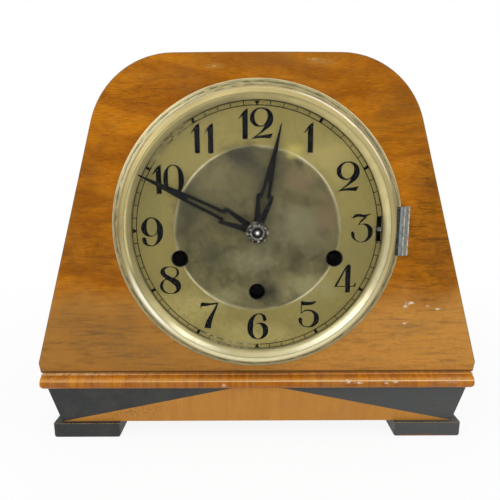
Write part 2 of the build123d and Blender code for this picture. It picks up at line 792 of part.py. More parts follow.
with BuildPart() as minute_wheel:
    gear(MINUTE_WHEEL_D, MINUTE_WHEEL_D + WHEEL_T, CANNON_M, MINUTE_N, MINUTE_WHEEL_PHASE, MINUTE_WHEEL)
    gear(HOUR_WHEEL_D - 1.0, MINUTE_WHEEL_D, HOUR_M, HOUR_PINION_N, 0.0, MINUTE_WHEEL)
    pin(HOUR_WHEEL_D - 1.0, MINUTE_WHEEL_D + WHEEL_T, STUD_R + FIT, MINUTE_WHEEL, Mode.SUBTRACT)
save(minute_wheel, "minute_wheel")

with BuildPart() as chime_silent_lever:
    pin(LEVER_D, LEVER_D + LEVER_T, 2 * LEVER_STUD_R, LEVER)
    lever_mid = ((LEVER[0] + SLOT_X) / 2, LEVER[1])
    block(LEVER_D, LEVER_D + LEVER_T, lever_mid, SLOT_X - LEVER[0], 3.6)
    pin(-DIAL_T - 2.0, LEVER_D + LEVER_T, SLOT_W / 2 - 0.4, (SLOT_X, LEVER[1]))
    pin(LEVER_D, LEVER_D + LEVER_T, LEVER_STUD_R + FIT, LEVER, Mode.SUBTRACT)
save(chime_silent_lever, "chime_silent_lever")

# Movement plates, pillars and the screws that hold them to the board
PLATE_MID = (0.0, DIAL_Z + (PLATE_TOP - PLATE_BOTTOM) / 2)

with BuildPart() as front_plate:
    block(FRONT_PLATE, FRONT_PLATE + PLATE_T, PLATE_MID, 2 * PLATE_HALF, PLATE_TOP + PLATE_BOTTOM)
    for at in PIVOTS + [ANCHOR]:
        radius = CANNON_BORE if at == CENTRE else PIVOT_R
        pin(FRONT_PLATE, FRONT_PLATE + PLATE_T, radius + FIT, at, Mode.SUBTRACT)
    for at in WINDERS.values():
        pin(FRONT_PLATE, FRONT_PLATE + PLATE_T, FRONT_PIVOT_R + FIT, at, Mode.SUBTRACT)
    for at in PILLARS:
        pin(FRONT_PLATE, FRONT_PLATE + PLATE_T, PILLAR_END_R + FIT, at, Mode.SUBTRACT)
    for at in MOUNTS:
        pin(FRONT_PLATE, FRONT_PLATE + PLATE_T, SCREW_R + FIT, at, Mode.SUBTRACT)
    pin(LEVER_D - 1.0, FRONT_PLATE, LEVER_STUD_R, LEVER)
    pin(LEVER_D + LEVER_T + 0.3, FRONT_PLATE, 2 * LEVER_STUD_R, LEVER)
    pin(HOUR_WHEEL_D - 2.0, FRONT_PLATE, STUD_R, MINUTE_WHEEL)
    pin(MINUTE_WHEEL_D + WHEEL_T + 0.3, FRONT_PLATE, 2.5 * STUD_R, MINUTE_WHEEL)
    for at in CLICKS.values():
        pin(RATCHET_D - 0.8, FRONT_PLATE, CLICK_STUD_R, at)
        pin(RATCHET_D + RATCHET_T + 0.3, FRONT_PLATE, 2 * CLICK_STUD_R, at)
save(front_plate, "front_plate")

with BuildPart() as back_plate:
    block(BACK_PLATE, BACK_PLATE + PLATE_T, PLATE_MID, 2 * PLATE_HALF, PLATE_TOP + PLATE_BOTTOM)
    cock_mid = (0.0, ANCHOR[1] + 6.6)
    block(BACK_PLATE + PLATE_T, PENDULUM_D + 6.0, cock_mid, 12.0, 6.6)
    for at in PIVOTS + [ANCHOR]:
        radius = ARBOR_R if at in (DRUM, ANCHOR) else PIVOT_R
        pin(BACK_PLATE, BACK_PLATE + PLATE_T, radius + FIT, at, Mode.SUBTRACT)
    for at in WINDERS.values():
        pin(BACK_PLATE, BACK_PLATE + PLATE_T, BACK_PIVOT_R + FIT, at, Mode.SUBTRACT)
    for at in PILLARS:
        pin(BACK_PLATE, BACK_PLATE + PLATE_T, PILLAR_END_R + FIT, at, Mode.SUBTRACT)
save(back_plate, "back_plate")

with BuildPart() as pillars:
    for at in PILLARS:
        pin(FRONT_PLATE + PLATE_T, BACK_PLATE, PILLAR_R, at)
        pin(FRONT_PLATE - 1.0, BACK_PLATE + PLATE_T + 1.0, PILLAR_END_R, at)
        pin(BACK_PLATE + PLATE_T, BACK_PLATE + PLATE_T + 2.0, PILLAR_R + 0.1, at)
save(pillars, "pillars")

with BuildPart() as mount_screws:
    for at in MOUNTS:
        pin(4.0, FRONT_PLATE + PLATE_T, SCREW_R, at)
        pin(BOARD_T, FRONT_PLATE, SPACER_R, at)
        pin(FRONT_PLATE + PLATE_T, FRONT_PLATE + PLATE_T + 2.5, 2 * SCREW_R, at)
        block(
            FRONT_PLATE + PLATE_T + 1.5, FRONT_PLATE + PLATE_T + 2.5, at, 5 * SCREW_R, 1.0, Mode.SUBTRACT
        )
save(mount_screws, "mount_screws")

# Barrels with their springs, winding arbors with their ratchets, and clicks
RATCHET_STEP = 360 / RATCHET_N

for name, at in WINDERS.items():
    with BuildPart() as barrel:
        gear(GREAT_D, GREAT_D + GREAT_T, GREAT_M, GREAT_N, 0.0, at)
        pin(GREAT_D + GREAT_T, BARREL_END, BARREL_R, at)
        pin(GREAT_D + GREAT_T, BARREL_END - BARREL_WALL, BARREL_R - BARREL_WALL, at, Mode.SUBTRACT)
        pin(GREAT_D, BARREL_END, BARREL_ARBOR_R + FIT, at, Mode.SUBTRACT)
    save(barrel, name + "_barrel")

    with BuildPart() as winder:
        block(SQUARE_D, RATCHET_D, at, SQUARE, SQUARE)
        teeth = []
        for index in range(RATCHET_N):
            teeth.append(polar((0, 0), RATCHET_R, index * RATCHET_STEP))
            teeth.append(polar((0, 0), RATCHET_R - 1.5, (index + 0.15) * RATCHET_STEP))
        plate(RATCHET_D, RATCHET_D + RATCHET_T, at, teeth)
        pin(RATCHET_D + RATCHET_T, GREAT_D, FRONT_PIVOT_R, at)
        pin(GREAT_D - 0.5, BARREL_END + 0.5, BARREL_ARBOR_R, at)
        pin(BARREL_END + 0.5, BACK_PLATE - 0.3, 3.0, at)
        pin(BACK_PLATE - 0.3, BACK_PLATE + PLATE_T, BACK_PIVOT_R, at)
    save(winder, name + "_winding_arbor")

    with BuildPart() as spring:
        with BuildSketch(front(BARREL_END - BARREL_WALL - 0.3, at)):
            with BuildLine():
                for edge in (SPRING_IN, SPRING_IN + SPRING_T):
                    for half in range(2 * SPRING_TURNS):
                        side = -1 if half % 2 else 1
                        middle = SPRING_PITCH / 2 if half % 2 else 0.0
                        radius = edge + half * SPRING_PITCH / 2
                        ThreePointArc(
                            (middle + side * radius, 0),
                            (middle, side * radius),
                            (middle - side * radius, 0),
                        )
                Line((SPRING_IN, 0), (SPRING_IN + SPRING_T, 0))
                last = SPRING_IN + SPRING_TURNS * SPRING_PITCH
                Line((last, 0), (last + SPRING_T, 0))
            make_face()
        extrude(amount=BARREL_END - BARREL_WALL - GREAT_D - GREAT_T - 0.6)
    save(spring, name + "_mainspring")

    with BuildPart() as click:
        pivot = CLICKS[name]
        nose = polar(at, RATCHET_R + CLICK_GAP, CLICK_ANGLE[name] + CLICK_NOSE[name])
        lie = bearing(pivot, nose)
        long = hypot(nose[0] - pivot[0], nose[1] - pivot[1])
        pin(RATCHET_D, RATCHET_D + RATCHET_T, 2 * CLICK_STUD_R, pivot)
        plate(
            RATCHET_D,
            RATCHET_D + RATCHET_T,
            pivot,
            [
                polar((0, 0), 2.8, lie + 90),
                polar((0, 0), 2.8, lie - 90),
                polar((0, 0), long, lie),
            ],
        )
        pin(RATCHET_D, RATCHET_D + RATCHET_T, CLICK_STUD_R + FIT, pivot, Mode.SUBTRACT)
    save(click, name + "_click")

# Going train
with BuildPart() as intermediate_wheel:
    arbor(INTER)
    gear(GREAT_D - 0.5, GREAT_D + GREAT_T + 0.5, GREAT_M, PINION_N, INTER_PINION_PHASE, INTER)
    gear(INTER_D, INTER_D + WHEEL_T, INTER_M, INTER_N, 0.0, INTER)
    windows(INTER_D, INTER_D + WHEEL_T, INTER, 10.0, 4.2, 5)
save(intermediate_wheel, "intermediate_wheel")

with BuildPart() as centre_wheel:
    arbor(CENTRE)
    pinion(INTER_D, INTER_M, PINION_N, CENTRE_PINION_PHASE, CENTRE)
    gear(CENTRE_D, CENTRE_D + WHEEL_T, CENTRE_M, CENTRE_N, 0.0, CENTRE)
    windows(CENTRE_D, CENTRE_D + WHEEL_T, CENTRE, 10.8, 4.6, 5)
    pin(NUT_BACK - NUT_T - 0.6, FRONT_PLATE + PLATE_T + 3.0, CANNON_BORE, CENTRE)
save(centre_wheel, "centre_wheel")

with BuildPart() as third_wheel:
    arbor(THIRD, radius=FINE_ARBOR_R)
    pinion(CENTRE_D, CENTRE_M, LEAVES, THIRD_PINION_PHASE, THIRD)
    gear(THIRD_D, THIRD_D + WHEEL_T, CENTRE_M, THIRD_N, 0.0, THIRD)
    windows(THIRD_D, THIRD_D + WHEEL_T, THIRD, 9.0, 3.8, 5)
save(third_wheel, "third_wheel")

with BuildPart() as escape_wheel:
    arbor(ESCAPE, radius=FINE_ARBOR_R)
    pinion(THIRD_D, CENTRE_M, LEAVES, ESCAPE_PINION_PHASE, ESCAPE)
    teeth = []
    for index in range(ESCAPE_N):
        teeth.append(polar((0, 0), ESCAPE_R, index * 360 / ESCAPE_N))
        teeth.append(polar((0, 0), ESCAPE_R - 1.6, (index + 0.35) * 360 / ESCAPE_N))
        teeth.append(polar((0, 0), ESCAPE_R - 1.6, (index + 0.6) * 360 / ESCAPE_N))
    plate(ESCAPE_D, ESCAPE_D + ESCAPE_T, ESCAPE, teeth)
    windows(ESCAPE_D, ESCAPE_D + ESCAPE_T, ESCAPE, 5.7, 2.3, 5)
save(escape_wheel, "escape_wheel")

CRUTCH_D = BACK_PLATE + PLATE_T + 3.0
ROD_MID = PENDULUM_D + ROD_T / 2

with BuildPart() as anchor:
    pin(FRONT_PLATE, FRONT_PLATE + PLATE_T + 1.0, PIVOT_R, ANCHOR)
    pin(FRONT_PLATE + PLATE_T + 0.3, CRUTCH_D + 2.0, ARBOR_R, ANCHOR)
    arm = [(0.0, 2.6), (6.0, 0.5), (11.3, -4.6), (10.2, -7.2), (8.7, -6.4), (9.0, -4.6), (5.0, -1.8)]
    outline = arm + [(0.0, -2.6)] + [(-x, y) for x, y in reversed(arm[1:])]
    plate(ESCAPE_D, ESCAPE_D + ESCAPE_T + 0.3, ANCHOR, outline)
    pin(CRUTCH_D, CRUTCH_D + 2.0, 3.0, ANCHOR)
    block(CRUTCH_D, CRUTCH_D + 1.5, (0.0, ANCHOR[1] - 14.0), 2.0, 26.0)
    block(CRUTCH_D, CRUTCH_D + 1.5, (0.0, ANCHOR[1] - 25.5), 2 * (ROD_W / 2 + 1.5), 3.0)
    for side in (-1, 1):
        block(
            CRUTCH_D,
            PENDULUM_D + ROD_T + 1.5,
            (side * (ROD_W / 2 + 0.9), ANCHOR[1] - 25.5),
            1.2,
            3.0,
        )
save(anchor, "anchor")

# Pendulum
BOB = (0.0, ANCHOR[1] - PENDULUM_L)
ROD_TOP = ANCHOR[1] + 3.0
ROD_END = BOB[1] - BOB_R - 4.0

with BuildPart() as pendulum_rod:
    block(PENDULUM_D, PENDULUM_D + ROD_T, (0.0, (ROD_TOP + ROD_END) / 2), ROD_W, ROD_TOP - ROD_END)
    block(ROD_MID - 2.5, ROD_MID + 2.5, (0.0, BOB[1] - BOB_R - 1.7), 6.0, 2.8)
save(pendulum_rod, "pendulum_rod")

with BuildPart() as pendulum_bob:
    pin(ROD_MID - BOB_T / 2, ROD_MID + BOB_T / 2, BOB_R, BOB)
    fillet(pendulum_bob.edges().filter_by(GeomType.CIRCLE), 2.5)
    block(
        PENDULUM_D - FIT,
        PENDULUM_D + ROD_T + FIT,
        BOB,
        ROD_W + 2 * FIT,
        2 * BOB_R + 2,
        Mode.SUBTRACT,
    )
save(pendulum_bob, "pendulum_bob")

# Strike and chime trains, with the fly that brakes each one
SECONDS = {"strike": STRIKE_SECOND, "chime": CHIME_SECOND}
FLIES = {"strike": STRIKE_FLY, "chime": CHIME_FLY}

for name, at in SECONDS.items():
    toward = bearing(WINDERS[name], at)
    fly_at = FLIES[name]
    with BuildPart() as second:
        arbor(at)
        gear(
            GREAT_D - 0.5,
            GREAT_D + GREAT_T + 0.5,
            GREAT_M,
            PINION_N,
            meshed(0.0, GREAT_N, PINION_N, toward),
            at,
        )
        gear(SECOND_D, SECOND_D + WHEEL_T, SECOND_M, SECOND_N, 0.0, at)
        windows(SECOND_D, SECOND_D + WHEEL_T, at, 8.2, 3.5, 5)
    save(second, name + "_second_wheel")

    with BuildPart() as fly:
        arbor(fly_at)
        phase = meshed(0.0, SECOND_N, PINION_N, bearing(at, fly_at))
        pinion(SECOND_D, SECOND_M, PINION_N, phase, fly_at)
        block(FLY_D, FLY_D + FLY_L, fly_at, 22.0, 0.6)
        pin(FLY_D, FLY_D + FLY_L, 2.2, fly_at)
    save(fly, name + "_fly")

# Chime drum, hammers, the frame that carries them, and the gong
LANES = [HAMMER_D + index * HAMMER_STEP for index in range(HAMMERS)]
DRUM_NEAR = LANES[0] - 3.5
DRUM_FAR = LANES[-1] + 3.5

with BuildPart() as chime_drum:
    pin(FRONT_PLATE, FRONT_PLATE + PLATE_T + 1.0, PIVOT_R, DRUM)
    pin(FRONT_PLATE + PLATE_T + 0.3, BRACKET_D - 0.3, ARBOR_R, DRUM)
    pin(BRACKET_D - 0.3, BRACKET_D + PLATE_T, PIVOT_R, DRUM)
    gear(
        GREAT_D - 0.5,
        GREAT_D + GREAT_T + 0.5,
        GREAT_M,
        PINION_N,
        meshed(0.0, GREAT_N, PINION_N, bearing(CHIME, DRUM)),
        DRUM,
    )
    pin(DRUM_NEAR, DRUM_FAR, DRUM_R, DRUM)
    for index, lane in enumerate(LANES):
        for turn in range(5):
            angle = 72.0 * turn + 18.0 * index
            spot = polar(DRUM, DRUM_R, angle)
            block(lane - 0.7, lane + 0.7, spot, 2 * DRUM_PIN * 0.7, 2 * DRUM_PIN * 0.7)
save(chime_drum, "chime_drum")

with BuildPart() as hammer_frame:
    for at in BRACKET_POSTS:
        pin(BACK_PLATE + PLATE_T, BRACKET_D, 2.5, at)
    pin(BACK_PLATE + PLATE_T, BRACKET_D, SPINDLE_R, HAMMER)
    frame_mid = (47.0, HAMMER[1])
    block(BRACKET_D, BRACKET_D + PLATE_T, frame_mid, 40.0, 12.0)
    strip_mid = (47.0, (BRACKET_POSTS[0][1] + BRACKET_POSTS[1][1]) / 2)
    block(BRACKET_D, BRACKET_D + PLATE_T, strip_mid, 7.0, 44.0)
    pin(BRACKET_D, BRACKET_D + PLATE_T, PIVOT_R + FIT, DRUM, Mode.SUBTRACT)
save(hammer_frame, "hammer_frame")

GONG_Z = DIAL_Z - GONG_DROP
HEAD_LOW = GONG_Z + GONG_R + 0.8 - HAMMER[1]
TAIL = DRUM[0] - DRUM_R - DRUM_PIN - 0.5 - HAMMER[0]

for index, lane in enumerate(LANES):
    near, far = lane - HAMMER_T / 2, lane + HAMMER_T / 2
    with BuildPart() as hammer:
        pin(near, far, 4.0, HAMMER)
        head_x = HEAD_X - HAMMER[0]
        plate(
            near,
            far,
            HAMMER,
            [(0.5, 2.5), (-2.0, -2.5), (head_x + 1.5, HEAD_LOW + 9.0), (head_x - 1.0, HEAD_LOW + 11.5)],
        )
        block(lane - 2.8, lane + 2.8, (HEAD_X, HAMMER[1] + HEAD_LOW + 6.0), 8.0, 12.0)
        block(near, far, (HAMMER[0] + TAIL / 2, HAMMER[1]), TAIL, 2.4)
        pin(near, far, SPINDLE_R + FIT, HAMMER, Mode.SUBTRACT)
    save(hammer, "hammer_" + str(index + 1))

GONG_LEFT = [-50.0 - 10.0 * index for index in range(HAMMERS)]
BLOCK_H = GONG_Z + 6.0 - BODY_BOTTOM_Z


def sideways(x, lane):
    """Plane across a gong rod."""
    return Plane(origin=(x, FRONT_Y + lane, GONG_Z), x_dir=(0, 1, 0), z_dir=(1, 0, 0))


with BuildPart() as gong_block:
    block(
        DRUM_NEAR,
        DRUM_FAR,
        (BLOCK_X + BLOCK_W / 2, BODY_BOTTOM_Z + BLOCK_H / 2),
        BLOCK_W,
        BLOCK_H,
    )
    for lane in LANES:
        with BuildSketch(sideways(BLOCK_X, lane)):
            Circle(GONG_R + SEAT)
        extrude(amount=GONG_HELD, mode=Mode.SUBTRACT)
save(gong_block, "gong_block")

with BuildPart() as gong_rods:
    for lane, left in zip(LANES, GONG_LEFT):
        with BuildSketch(sideways(left, lane)):
            Circle(GONG_R)
        extrude(amount=BLOCK_X + GONG_HELD - left)
save(gong_rods, "gong_rods")
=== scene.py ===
"""Finishes, dial print and stage for the mantel clock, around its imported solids."""

import json
import math
from functools import cached_property, partial, reduce

import bmesh
import bpy
from mathutils import Matrix, Vector


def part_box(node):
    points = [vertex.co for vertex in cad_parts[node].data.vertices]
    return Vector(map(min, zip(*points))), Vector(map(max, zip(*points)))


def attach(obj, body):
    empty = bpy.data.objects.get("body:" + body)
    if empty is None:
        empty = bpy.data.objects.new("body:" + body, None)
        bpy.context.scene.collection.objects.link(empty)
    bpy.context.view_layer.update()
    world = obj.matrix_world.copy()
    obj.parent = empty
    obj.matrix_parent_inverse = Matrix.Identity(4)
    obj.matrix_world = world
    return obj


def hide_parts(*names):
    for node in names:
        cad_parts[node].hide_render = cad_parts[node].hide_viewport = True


bl_info = {
    "name": "Mantel clock finishes",
    "version": (1, 0, 0),
    "blender": (4, 5, 0),
    "location": "View3D > Sidebar > Clock",
    "description": "Veneer, brass, dial print, hand nut, back screws and a stage for the mantel clock",
    "category": "Object",
}

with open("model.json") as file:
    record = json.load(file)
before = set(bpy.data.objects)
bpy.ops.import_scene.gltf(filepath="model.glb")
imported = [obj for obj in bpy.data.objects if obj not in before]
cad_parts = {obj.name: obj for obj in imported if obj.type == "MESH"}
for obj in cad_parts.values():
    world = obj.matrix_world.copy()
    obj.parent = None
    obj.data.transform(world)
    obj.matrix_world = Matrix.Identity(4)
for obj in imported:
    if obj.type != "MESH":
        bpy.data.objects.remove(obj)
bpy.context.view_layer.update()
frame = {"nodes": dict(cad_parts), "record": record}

# Shapes are in metres. The tables of marks and all the materials are in millimetres. The back hinges'
# pins stand at one x, and corners nearer to each other than the last number are merged.
MM = 0.001
QUARTER = math.radians(90.0)
DIAL_LOW, DIAL_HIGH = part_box("dial_plate")
DIAL_FRONT = DIAL_LOW.y
DIAL_Z = (DIAL_LOW.z + DIAL_HIGH.z) / 2
BOARD_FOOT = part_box("front_board")[0].z / MM
NUT_LOW, NUT_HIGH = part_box("hand_nut")
WINDING_ARBORS = ("time_winding_arbor", "strike_winding_arbor", "chime_winding_arbor")
BACK_HINGE_X = -0.07465
MERGE = 1e-7

# In the materials: the turn for upright grain, two colours, the range of the fine dirt, the depth of
# bumps in metres, the radius of the dial's sunk centre, and y of the board's face and the moulding's nose.
UPRIGHT_GRAIN = (0.0, -QUARTER, 0.0)
WHITE = (1.0, 1.0, 1.0)
BRASS_STAIN = (0.3, 0.2, 0.07)
FINE_RANGE = (0.2, 0.8)
BUMP_DISTANCE = 0.0001
SUNK_RADIUS = 53.0
BOARD_FACE = -58.7
NOSE_FACE = -65.6

# The print: its gap from the dial, the units of the figures in a millimetre, the steps from point to point
# of their outlines, the minutes left free for the slot, the hours with a triangle and its size, the steps
# of the minute circles, and the bars' length as a share of the track.
PRINT_GAP = 0.00001
FIGURE_UNITS = 16.0
FIGURE_STEPS = 6
SLOT_MINUTES = (14, 15)
TRIANGLE_HOURS = (0, 6, 9)
TRIANGLE_RADIUS = 0.0019
CIRCLE_STEPS = 180
BAR_LENGTH = 1.1

# The nut's edge is cut into this many steps, and every second one is drawn in to this share.
KNURL_STEPS = 56
KNURL_DEPTH = 0.93

# A screw head in millimetres: radius and height of its dome, and half width and depth of its slot. The
# two in a leaf sit at these shares of its height, on the face found this near to them.
SCREW_DOME = ((0.0, 0.55), (0.7, 0.5), (1.3, 0.32), (1.7, 0.0))
SCREW_SLOT = (0.25, 0.3)
SCREW_STEPS = 20
SCREW_SHARES = (0.2, 0.8)
LEAF_REACH = 0.009

# The floor's half width, and the distances between which it turns plain white. The width of the camera's
# picture in millimetres, and how near the camera can see.
FLOOR_SIZE = 3.0
FLOOR_FADE = (0.18, 0.6)
PICTURE_WIDTH = 36.0
NEAREST = 0.01

# Lamps: name, place, size and the setting that holds the power. All point at the same place.
LAMP_TARGET = Vector((0.0, 0.0, 0.13))
LAMPS = (
    ("key", (-0.6, -1.0, 0.8), 0.8, "key_power"),
    ("front", (0.1, -1.3, 0.45), 1.4, "front_power"),
    ("top", (0.0, 0.1, 1.1), 0.9, "top_power"),
    ("left", (-0.85, -0.25, 0.85), 0.6, "side_power"),
    ("right", (0.85, -0.25, 0.85), 0.6, "side_power"),
)

# Outlines of the figures in sixteenths of a millimetre from the middle of their box, x to the right and
# y down. Points marked c are sharp corners, the others are smooth.
FIGURES = {
    "1": [
        [(37, -148, "c"), (37, 143, "c"), (-16, 143, "c"), (-17, -74, "c"), (-50, -45, "c"),
         (-53, -51, "c"), (-6, -118)],
    ],
    "2": [
        [(0, -153), (-80, -125), (-115, -60), (-90, 0), (-35, 27), (15, 22), (32, 12, "c"), (0, 62),
         (-92, 137, "c"), (-88, 141, "c"), (0, 133), (90, 138, "c"), (113, 88, "c"), (70, 97), (-10, 108),
         (-50, 120, "c"), (35, 62), (100, 5), (116, -60), (80, -128)],
        [(-3, -142), (-55, -115), (-67, -60), (-50, -10), (-5, 15), (40, -15), (58, -65), (45, -120)],
    ],
    "3": [
        [(97, -153, "c"), (-15, -48), (30, -52), (95, -20), (115, 35), (90, 105), (20, 143), (-60, 125),
         (-105, 70), (-100, 36), (-82, 33), (-72, 55), (-65, 95), (-35, 128), (15, 135), (55, 100),
         (65, 35), (45, -20), (5, -40), (-40, -32, "c"), (62, -125, "c"), (25, -112), (-30, -118),
         (-65, -112), (-100, -100, "c"), (-103, -103, "c"), (-72, -145, "c"), (-30, -148), (20, -140)],
    ],
    "4": [
        [(32, -158, "c"), (50, -140, "c"), (50, 75, "c"), (83, 75, "c"), (100, 40, "c"), (111, 43, "c"),
         (103, 84, "c"), (50, 84, "c"), (50, 145, "c"), (0, 145, "c"), (0, 84, "c"), (-100, 84, "c"),
         (-114, 90, "c"), (-110, 68, "c"), (5, -145, "c")],
        [(-3, 75, "c"), (-87, 75, "c"), (-3, -100, "c")],
    ],
    "5": [
        [(-87, -145, "c"), (-10, -134), (78, -144, "c"), (45, -110), (-10, -98), (-78, -97, "c"),
         (-79, -20, "c"), (-50, -42), (-5, -50), (75, -20), (107, 40), (80, 115), (0, 147), (-75, 125),
         (-110, 70), (-105, 43), (-88, 38), (-73, 52), (-72, 80), (-65, 115), (-10, 137), (40, 100),
         (52, 40), (35, -15), (-10, -35), (-55, -25), (-82, -5, "c"), (-88, -5, "c")],
    ],
    "6": [
        [(5, -143), (-70, -100), (-110, 5), (-80, 110), (0, 147), (85, 115), (113, 45), (85, -20),
         (15, -40), (-35, -15), (-48, 0, "c"), (-40, -70), (5, -132), (40, -120), (52, -90), (62, -60),
         (85, -60), (92, -90), (60, -132)],
        [(5, -30), (40, 0), (55, 50), (40, 115), (5, 138), (-35, 110), (-50, 50), (-35, -10)],
    ],
    "7": [
        [(97, -140, "c"), (80, -80), (35, 40), (12, 146, "c"), (-58, 140, "c"), (-25, 50), (30, -40),
         (78, -122, "c"), (35, -115), (-30, -102), (-88, -92), (-95, -75, "c"), (-97, -82, "c"),
         (-88, -132, "c"), (-75, -142, "c"), (0, -134)],
    ],
    "8": [
        [(-5, -145), (-75, -130), (-102, -85), (-75, -35), (-50, -18, "c"), (-100, 25), (-112, 75),
         (-75, 130), (0, 148), (80, 125), (108, 65), (85, 5), (45, -20, "c"), (85, -55), (92, -92),
         (60, -132)],
        [(-5, -137), (-50, -115), (-52, -80), (-10, -45), (32, -28), (62, -60), (65, -100), (40, -130)],
        [(-50, -2), (-75, 35), (-78, 80), (-50, 125), (0, 140), (50, 115), (55, 80), (15, 35), (-35, 0)],
    ],
    "9": [
        [(-5, -148), (-80, -110), (-112, -35), (-85, 25), (-15, 50), (40, 25), (50, 5, "c"), (45, 80),
         (0, 138), (-50, 125), (-60, 95), (-72, 60), (-100, 62), (-105, 95), (-75, 135), (-5, 148),
         (75, 100), (112, -5), (80, -105)],
        [(-5, -138), (-55, -53), (-5, 40), (50, -50)],
    ],
    "0": [
        [(0, -145), (-105, 0), (0, 145), (105, 0)],
        [(-5, -135), (-57, 0), (-5, 135), (47, 0)],
    ],
}

# Each hour: the middle of its box on the dial in millimetres, and its figures with their shift to the right.
HOURS = {
    12: ((0.0, 65.5), [("1", -128), ("2", 42)]),
    1: ((31.5, 57.2), [("1", 8)]),
    2: ((56.5, 33.4), [("2", 0)]),
    3: ((66.5, 1.25), [("3", 0)]),
    4: ((57.5, -31.9), [("4", 0)]),
    5: ((34.3, -55.7), [("5", 0)]),
    6: ((0.4, -64.0), [("6", 0)]),
    7: ((-31.5, -56.3), [("7", 0)]),
    8: ((-56.3, -32.3), [("8", 0)]),
    9: ((-66.75, -0.6), [("9", 0)]),
    10: ((-54.75, 32.3), [("1", -115), ("0", 45)]),
    11: ((-32.8, 57.0), [("1", -74), ("1", 58)]),
}

# Stains on the front board: place and size across and up, strength and colour.
FRONT_MARKS = (
    ((103.0, 80.0), (24.0, 9.0), 0.6, (0.2, 0.12, 0.05)),
    ((-112.0, 76.0), (36.0, 26.0), 0.6, (0.17, 0.085, 0.025)),
    ((-82.0, 68.0), (40.0, 24.0), 0.55, (0.19, 0.11, 0.04)),
    ((36.0, 246.0), (15.0, 3.0), 0.4, (0.45, 0.28, 0.1)),
    ((-27.0, 243.6), (9.0, 2.0), 0.5, (0.5, 0.32, 0.1)),
    ((107.0, 182.0), (12.0, 14.0), 0.75, (0.11, 0.05, 0.01)),
    ((112.0, 135.0), (26.0, 55.0), 0.95, (0.15, 0.056, 0.006)),
    ((-110.0, 152.0), (22.0, 50.0), 0.75, (0.22, 0.072, 0.006)),
    ((-106.0, 126.0), (24.0, 14.0), 0.6, (0.13, 0.05, 0.008)),
    ((95.0, 212.0), (30.0, 28.0), 0.6, (0.24, 0.095, 0.01)),
    ((20.0, 247.0), (80.0, 8.0), 0.3, (0.26, 0.13, 0.03)),
)

# Bare nicks on the front board: place and size across and up, and colour.
FRONT_NICKS = (
    ((101.5, 95.8), (3.6, 1.4), (0.7, 0.6, 0.46)),
    ((98.0, 93.4), (2.0, 1.2), (0.66, 0.55, 0.4)),
    ((113.0, 93.4), (3.0, 1.0), (0.7, 0.58, 0.42)),
    ((120.0, 91.6), (3.2, 1.0), (0.72, 0.62, 0.48)),
    ((98.5, 82.0), (1.8, 1.2), (0.68, 0.56, 0.42)),
    ((-26.0, 243.4), (2.2, 0.8), (0.5, 0.33, 0.1)),
    ((34.0, 247.5), (5.0, 0.7), (0.45, 0.3, 0.12)),
)

# Nicks along the moulding: place and size across and up, strength and colour.
NOSE_MARKS = (
    ((60.0, 43.4), (5.0, 1.5), 0.9, (0.8, 0.7, 0.55)),
    ((68.0, 42.6), (4.0, 0.8), 0.8, (0.75, 0.65, 0.5)),
    ((86.0, 42.4), (2.0, 1.2), 0.8, (0.75, 0.62, 0.45)),
    ((92.0, 43.0), (3.0, 1.0), 0.8, (0.75, 0.62, 0.45)),
    ((-22.0, 41.0), (2.0, 1.4), 0.9, (0.7, 0.5, 0.3)),
    ((130.0, 43.5), (14.0, 3.0), 0.5, (0.5, 0.3, 0.18)),
)

# Darker and lighter patches on the dial: place from its middle and size, across and up, strength and colour.
DIAL_MARKS = (
    ((-9.0, 46.0), (15.0, 9.5), 0.95, (0.026, 0.024, 0.016)),
    ((-44.0, 12.0), (12.0, 26.0), 0.7, (0.04, 0.037, 0.019)),
    ((-29.0, -16.0), (15.0, 12.0), 0.65, (0.042, 0.04, 0.019)),
    ((7.5, -40.0), (12.0, 8.5), 0.9, (0.02, 0.018, 0.012)),
    ((21.0, -12.0), (20.0, 7.0), 0.5, (0.06, 0.058, 0.027)),
    ((14.0, -27.0), (10.0, 6.0), 0.4, (0.07, 0.068, 0.034)),
    ((-5.0, -20.0), (18.0, 11.0), 0.6, (0.18, 0.165, 0.095)),
    ((26.0, 1.0), (24.0, 18.0), 0.55, (0.17, 0.155, 0.092)),
    ((28.0, 31.0), (14.0, 16.0), 0.5, (0.17, 0.12, 0.062)),
    ((43.6, 9.8), (10.0, 16.0), 0.5, (0.15, 0.1, 0.05)),
    ((-22.0, 32.0), (20.0, 15.0), 0.45, (0.14, 0.12, 0.06)),
    ((3.0, 34.0), (16.0, 14.0), 0.7, (0.045, 0.041, 0.02)),
    ((-21.0, -43.0), (20.0, 9.0), 0.65, (0.2, 0.182, 0.085)),
    ((30.0, -36.0), (22.0, 13.0), 0.7, (0.23, 0.208, 0.095)),
    ((-67.0, 16.0), (16.0, 30.0), 0.75, (0.15, 0.13, 0.043)),
    ((63.0, -14.0), (15.0, 24.0), 0.75, (0.15, 0.132, 0.05)),
    ((-46.0, -52.0), (24.0, 16.0), 0.5, (0.36, 0.3, 0.105)),
    ((48.0, 46.0), (22.0, 16.0), 0.5, (0.33, 0.27, 0.095)),
    ((0.0, -72.0), (44.0, 12.0), 0.6, (0.34, 0.285, 0.1)),
    ((22.4, 48.8), (8.0, 6.5), 0.9, (0.33, 0.28, 0.07)),
)

# Angles are in radians from twelve, clockwise.
# Broken dark grooves in the bezel's flange: from radius, to radius, strength.
BEZEL_GROOVES = ((87.05, 88.45, 0.95), (89.55, 90.65, 0.75))
